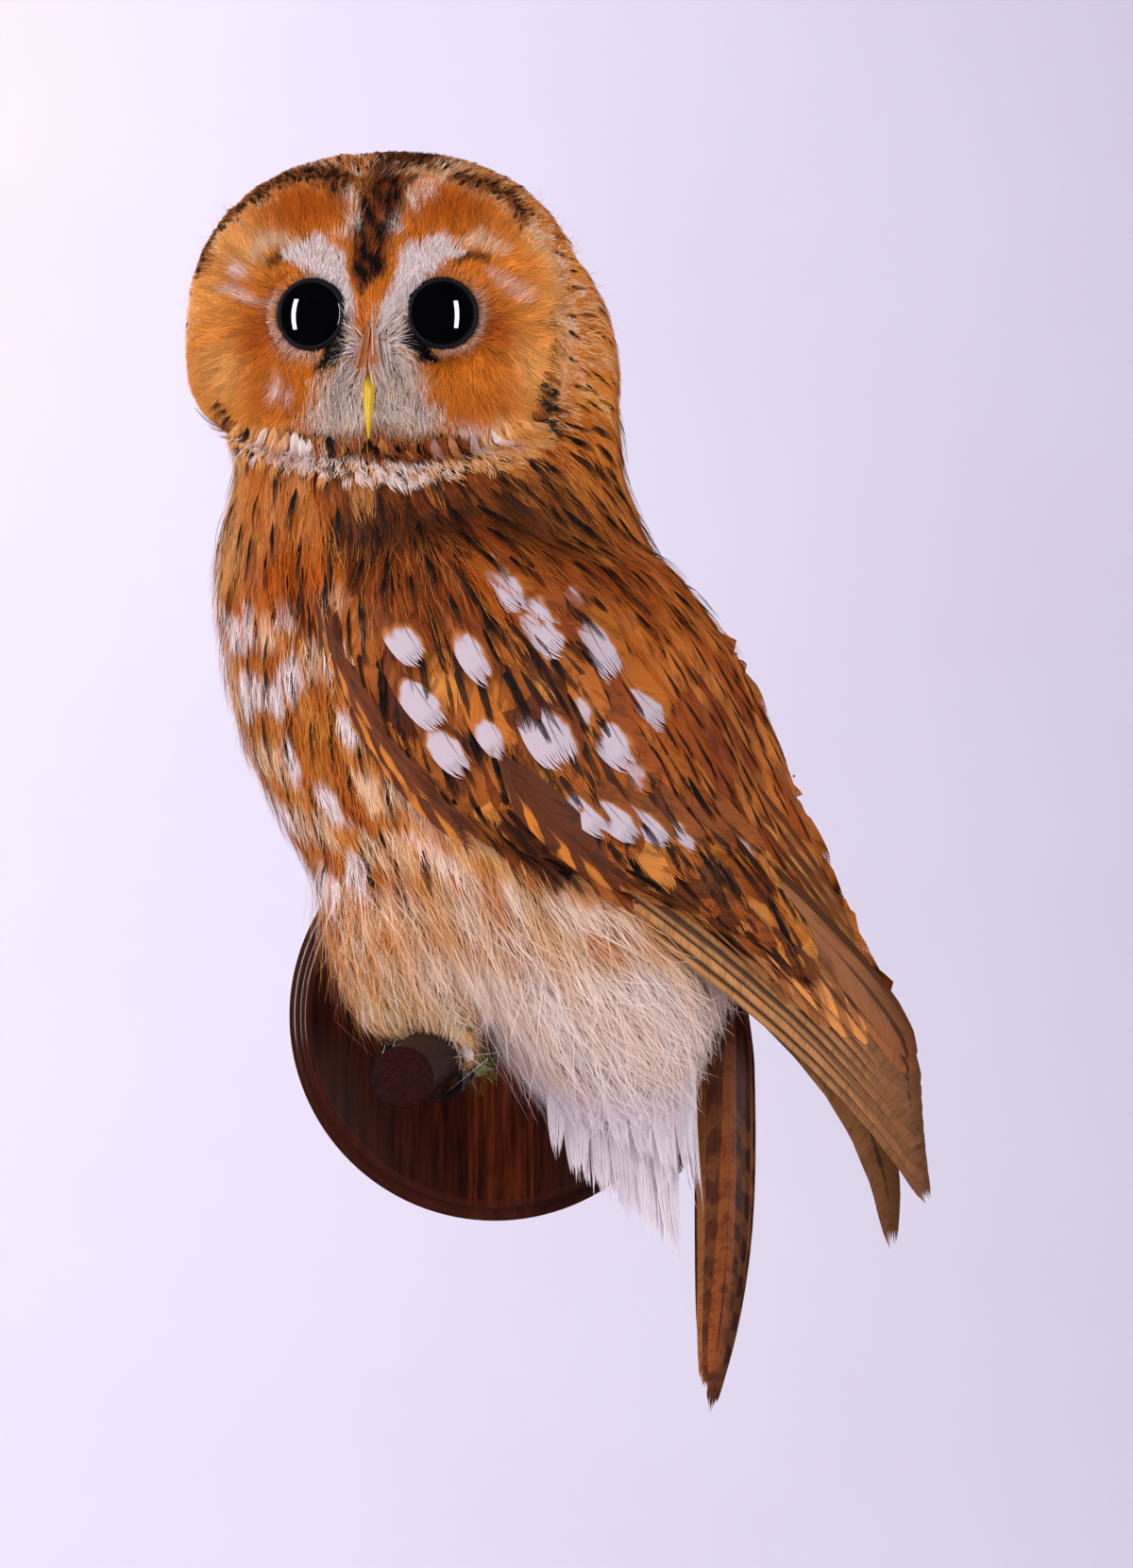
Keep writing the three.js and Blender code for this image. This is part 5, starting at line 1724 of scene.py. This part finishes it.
def both_wings(coat, pattern, places, normals, width, tone, tip_tone, marks, seed, sag=None,
               cells=None):
    """The near wing's feathers and their mirror image. Sag lowers the far wing's tips;
    cells give each long feather its own strip of the unwrap."""
    count = len(places)
    for mirrored in (False, True):
        lines = places.copy()
        if mirrored and sag is not None:
            sinking = np.linspace(0, 1, places.shape[1]) ** 6
            lines = lines + np.array(sag) * MM * sinking[None, :, None]
        roots = places[:, 0].copy()
        if mirrored:
            roots[:, 1] = 2 * MID_Y - roots[:, 1]
        patch = np.array([skin_uv[skin_tree.find_nearest(Vector(r))[2]].mean(0) for r in roots])
        patch_size = PATCH
        if cells is not None:
            first, total = cells
            strip = (first + 2 * np.arange(count) + mirrored + 0.5) / total
            patch = np.column_stack([strip, np.full(count, 0.5)])
            patch_size = (0.9 / total, 0.94)
        coat.add(pattern, lines, normals, patch, width, 0.0, tone, tip_tone, marks, seed,
                 mirrored=mirrored, patch_size=patch_size)


def wing_row(coat, pattern, count, roots, tips, bend, half_width, tone, marks, seed,
             lift=(0.5, 2.0), stack=0.3, roll=5, tip_light=1.1, trunk_y=None, vary=0.12,
             cells=None):
    random = np.random.default_rng(seed)
    places, normals = row_lines(count, roots, tips, bend, lift, stack, trunk_y)
    normals = rolled(places, normals, roll)
    width = np.linspace(*half_width, count) * (1 + 0.06 * random.normal(size=count))
    tone = tone * (1 + vary * random.normal(size=(count, 1)))
    both_wings(coat, pattern, places, normals, width, tone * 0.8, tone * tip_light * 1.12,
               np.tile(np.array(marks, float), (count, 1)), seed, cells=cells)


side_at = near_surface(np.array([30.0]), np.array([100.0]))
print("the folded wing's side stands at y =", side_at.round(1), "mm")

# %% [markdown]
# Under the rows lies a ground of mottled coverts and dark dashes. The alula stands along
# the wing's front edge, barred with orange. The white spots sit on the outer webs of single
# coverts, each placed by its spot: where it is, which way it leans and how large it is.

# %% Coverts, alula and white spots
wing_coat = Coat("wing_coverts")
not_tip = 1 - step(x_face, 80, 90)
covert_zone = in_rows * (1 - step(x_face + 0.3 * z_face, 102, 112)) * not_tip
feathers(wing_coat, broad, covert_zone * 5, 6.4, 80, 27, 6.4, (0.8, 1.3, 1.9, 2.5, 2.8),
         covert_colours, veer=0.1, bow=1.6)
feathers(wing_coat, dashes, in_rows * not_tip * 5, 6.5, 79, 24, 1.1, (1.6, 2.2, 2.7, 3.1, 3.2),
         streak_colours, veer=0.08)


def one_feather(root, tip, half_width, tone, marks, seed, lift):
    wing_row(wing_coat, covert[seed % 3], 1, (root, root), (tip, tip), 0.06,
             (half_width, half_width), tone, marks, seed, lift=lift, stack=0.0)


def spotted(x, z, lean, length, half_width, size, tone, seed):
    """A covert placed so that the white of its outer web lies at x, z, leaning towards the tail."""
    turn = math.radians(lean)
    way = np.array([math.sin(turn), -math.cos(turn)])
    side = np.array([way[1], -way[0]])
    root = np.array([x, z]) - way * length * 0.77 - side * half_width * 0.5
    one_feather(root, root + way * length, half_width, tone, (0.9, 0.2, size, 0.45), seed, (1.0, 4.2))


ALULA = (((-52, 138), (-30, 92), 4.2), ((-50, 126), (-13, 72), 5.6), ((-46, 118), (0, 59), 8.4),
         ((4, 86), (47, 46), 7.8))
for k, (root, tip, half_width) in enumerate(ALULA):
    one_feather(root, tip, half_width, shade("6A3418"), (0.3, 1.0, 0, 0.5), 81 + k, (3.6, 8.5))

# primary coverts with white outer webs, then plain ones
for k, size in enumerate((1.7, 2.0, 1.8, 1.6, 0.5, 0, 0.3)):
    tone = shade("96501E") * (1 - 0.06 * (k % 2))
    spotted(21 + 9.6 * k, 68 - 1.6 * k, 36 + k, 31, 5.4, size, tone, 85 + k)

# x, z, lean, length, half width and size of the spot
SPOTS = ((-18.7, 99, 30, 34, 7.5, 1.7), (-11, 85.5, 28, 32, 7.5, 1.3), (1.8, 91, 22, 32, 6.0, 0.8),
         (19, 88.5, 20, 36, 8.5, 2.2), (39, 87.5, 26, 32, 7.5, 1.3), (48, 99, 38, 34, 7.5, 1.2),
         (-23.6, 118.5, 26, 32, 7.0, 1.1), (-3, 114, 20, 36, 6.5, 1.1), (33, 115.5, 24, 40, 8.0, 2.0),
         (17.6, 121, 36, 36, 8.0, 1.0), (15.4, 128.5, 34, 34, 8.0, 0.9), (5.6, 134.5, 34, 32, 8.0, 1.2),
         (3, 143, 34, 28, 6.0, 0.4), (46, 80, 34, 30, 6.0, 0.35), (92, 44, 40, 22, 3.6, 0.7),
         (98, 38, 38, 22, 3.6, 0.6), (26, 134, 36, 28, 6.0, 0.35), (30, 100, 24, 28, 6.0, 0.4))
COVERT_TONES = ("80380E", "984A14", "B4641E")
for k, spot in enumerate(SPOTS):
    spotted(*spot, shade(COVERT_TONES[k % 3]), 100 + k)
wing_coat.join(wing_plumage, "flight_feathers")

# %% [markdown]
# ## Flight and tail feathers
#
# The long quills of the folded wing lie in a fan of narrow steps. They are laid along the
# same lines as their solids: tan outer webs with darker, barred inner ones, and grey-brown
# tips. Above them the secondaries show their rufous bars.

# %% Quills of both wings
PRIMARIES = 9
SECONDARIES = 11
CELLS = 40
random = np.random.default_rng(91)


def smooth_line(knots, t):
    """A cubic through about five knots, at each t from 0 to 1, one column per coordinate."""
    knots = np.array(knots)
    along = np.linspace(0, 1, len(knots))
    return np.stack([np.polyval(np.polyfit(along, column, 3), t) for column in knots.T], -1)


quill_coat, secondary_coat = Coat("wing_quills"), Coat("wing_secondaries")
for k in range(PRIMARIES):
    climb = 27.6 * k / (PRIMARIES - 1)
    out = MID_Y / MM - 6.6 * k / (PRIMARIES - 1) - 0.4
    knots = [(6 + 0.75 * climb, out - 42, 76 + 0.5 * climb),
             (41 + 0.7 * climb, out - 40, 48 + 0.75 * climb),
             (81 + 0.56 * climb, out - 33, 17 + 0.7 * climb),
             (115 + 0.27 * climb, out - 26, -15 + 0.8 * climb),
             (136.5 - 0.3 * climb, out - 20, -53 + 1.55 * climb)]
    places = smooth_line(knots, np.linspace(0, 1, 13))[None] * MM
    normals = rolled(places, np.broadcast_to(np.array([0.12, -1.0, 0.1]), places.shape), 9)
    # the two uppermost are narrower and darker, and go with the secondaries
    upper = k >= PRIMARIES - 2
    coat, half_width, code = (secondary_coat, 6.4, "D08A50") if upper else (quill_coat, 8.6, "EAAA64")
    tip_code, cells = ("94562C", (2 * (k - 7), CELLS)) if upper else ("945C34", (2 * k, 14))
    tone = shade(code) * (1 - k / 30) * (1 + 0.07 * random.normal())
    tips = shade(tip_code) * (0.85 + 0.25 * (k % 2))
    both_wings(coat, long_vane[k % 3], places, normals, np.array([half_width]), tone[None],
               tips[None], np.array([[0.9, 0.1, 0, 0.3]]), 92 + k, sag=(-8, 0, -19), cells=cells)
quill_coat.join(quill_plumage, "flight_feathers", "flight_feathers_left", "flight_feathers_right")

wing_row(secondary_coat, long_vane[1], SECONDARIES, ((28, 70), (64, 92)), ((123, -25), (114, 26)),
         -0.03, (5.0, 5.0), shade("D68C48"), (0.9, 0.6, 0, 0.4), 93, lift=(-3.0, 2.2), stack=0.2,
         roll=8, tip_light=0.85, vary=0.2, cells=(4, CELLS))
secondary_coat.join(secondary_plumage, "flight_feathers")

# %% [markdown]
# The tail's twelve feathers close into a half tube that opens towards the wall. All share
# one arched line, set out by its place, depth and width, and each stands at its own angle
# round it.

# %% The tail
TAIL_FEATHERS = 12
FAN_ANGLE = 23.5
# z, x, depth and width of the tube, from root to tip
TAIL_ARCH = [(16, 74, 6.5, 8), (-33, 73.5, 8.4, 15), (-62, 73.2, 7.6, 16), (-92, 71.2, 5.2, 15),
             (-121.5, 67.5, 2.0, 12)]
TAIL_TONES = ("C46E2A", "5E2A10", "944A1C", "6A3012", "9C5426", "7A3E18")
tail_coat = Coat("tail_feathers")
for k in range(TAIL_FEATHERS):
    out = k - (TAIL_FEATHERS - 1) / 2
    angle = math.radians(FAN_ANGLE) * out
    reach = 1 - 0.0024 * out * out - 0.03 * (k % 3)
    z, x, deep, wide = smooth_line(TAIL_ARCH, np.linspace(0, reach, 13)).T
    aside = MID_Y / MM + (wide + 0.25 * (k % 2)) * math.sin(angle)
    places = np.stack([x + deep * math.cos(angle), aside, z], -1)[None] * MM
    normal = unit(np.array([math.cos(angle) * 0.7, math.sin(angle) * 1.6, 0.0]))
    tone = shade(TAIL_TONES[int(5.5 - abs(out))]) * (1 + 0.08 * random.normal())
    # each tail feather's root end is painted darker, at 0.45 of its tone: painted shade where wing and
    # coverts overhang it
    tail_coat.add(tail_vane[k % 3], places, np.broadcast_to(normal, places.shape),
                  np.array([[0.04 + 0.08 * k, 0.5]]), np.array([3.9]), 0.0, (tone * 0.45)[None],
                  tone[None], np.array([[0.9, 0.25, 0, 0.5]]), 110 + k, patch_size=(0.07, 0.9))
tail_coat.join(tail_plumage, "flight_feathers", "tail")

# %% [markdown]
# Under the tail hang long soft white coverts, pointed, with a thin dark shaft line. The
# thighs and vent are cream fluff, so loose that its barbs part into hairs: single strands
# laid over the soft feathers give it its edge.

# %% Undertail coverts and fluff
LACE = shade("E4D8DE")
UNDERTAIL = ((((24, -4), (58, 4)), ((21, -40), (59, -75)), 2.0),
             (((28, -12), (56, -8)), ((27, -48), (54, -69)), 5.0),
             (((22, 6), (62, 20)), ((28, -32), (66, -58)), -2.0))
vent_coat = Coat("undertail_coverts")
for k, (roots, tips, out) in enumerate(UNDERTAIL):
    wing_row(vent_coat, vent_vane[k], 6, roots, tips, 0.04, (3.6, 4.2), LACE, (0.9, 0, 0, 0),
             140 + k, lift=(0.5 - out, 2.5 - out), stack=0.0, roll=3, trunk_y=MID_Y / MM - 14,
             vary=0.05)
vent_coat.join(vent_plumage, "pale_plumage")

fluffy = breast_zone * (1 - step(z_face, 40, 75)) * step(z_face, -10, 6)
wisps("fluff_hair", fluffy * 75, 151, lambda p: 22 + 14 * step(p[:, 2] / MM, -14, 14), 0.11,
      (1.2, 3.6, 5.6, 8.0), white_base, veer=0.14, painted=belly_tone, curl=0.1, clump=0.9)
wisps("fluff_edge", fluffy * 9, 153, lambda p: 30 + 18 * step(p[:, 2] / MM, -14, 14), 0.12,
      (1.5, 5.0, 8.0, 12.0), white_base, veer=0.25, painted=belly_tone, curl=0.14, clump=1.2)
wisps("leg_hair", shank_zone * 70, 154, 13, 0.1, (0.6, 2.2, 3.4, 4.6), leg_colours, veer=0.15,
      curl=0.1, clump=0.8)
wisps("breast_hair", breast_zone * step(z_face, 40, 70) * 55, 152, 11, 0.12,
      (2.4, 3.7, 4.4, 4.8), white_base, veer=0.12, painted=belly_tone, curl=0.06, clump=0.5)

# %% [markdown]
# A little moss is tucked behind the peg between the feet: a lump with short green blades.

# %% Moss
BLADES = 260
moss_green = Finish("moss_green", Roughness=0.9)
leafy = moss_green.noise(moss_green.place(), 700, 4, 0.7)
moss_green.feed(Base_Color=moss_green.mix(tint("2E3312"), tint("8C9440"), leafy.between(0.35, 0.7)))
moss_green.bump(leafy, 0.6, 0.0006)
moss_lump = refined("moss_lump", "moss", moss_green, "moss", levels=1)
random = np.random.default_rng(160)
sprigs = np.array([v.co for v in moss_lump.data.vertices])
sprigs = sprigs[random.integers(0, len(sprigs), BLADES)]
rise = sprigs - sprigs.mean(0) + 0.004 * random.normal(size=sprigs.shape)
rise = unit(rise + np.array([0.001, -0.002, 0.001]))
along = np.linspace(0, 1, 4)[None, :, None] * (0.003 + 0.005 * random.random((BLADES, 1, 1)))
facing = unit(np.cross(rise, [0.2, 1, 0.3]))[:, None] * np.ones((1, 4, 1))
blades = Coat("moss_blades")
blades.add(strands[3], sprigs[:, None] + rise[:, None] * along, facing,
           random.random((BLADES, 2)) * 0.9 + 0.05, np.full(BLADES, 0.22), 0.0,
           np.tile(shade("4A5220"), (BLADES, 1)), np.tile(shade("A8B058"), (BLADES, 1)),
           marked(BLADES), 161)
blades.join(hair, "moss")

# %% [markdown]
# Last, the finished model's box is measured against the solids' own, to show by how much
# the coat stands past them.

# %% Finish and measure
visual_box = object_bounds()
growth = [visual_box[1][k] - visual_box[0][k] - cad_box[1][k] + cad_box[0][k] for k in range(3)]
print("sides grow by", [round(side / MM, 1) for side in growth], "mm")
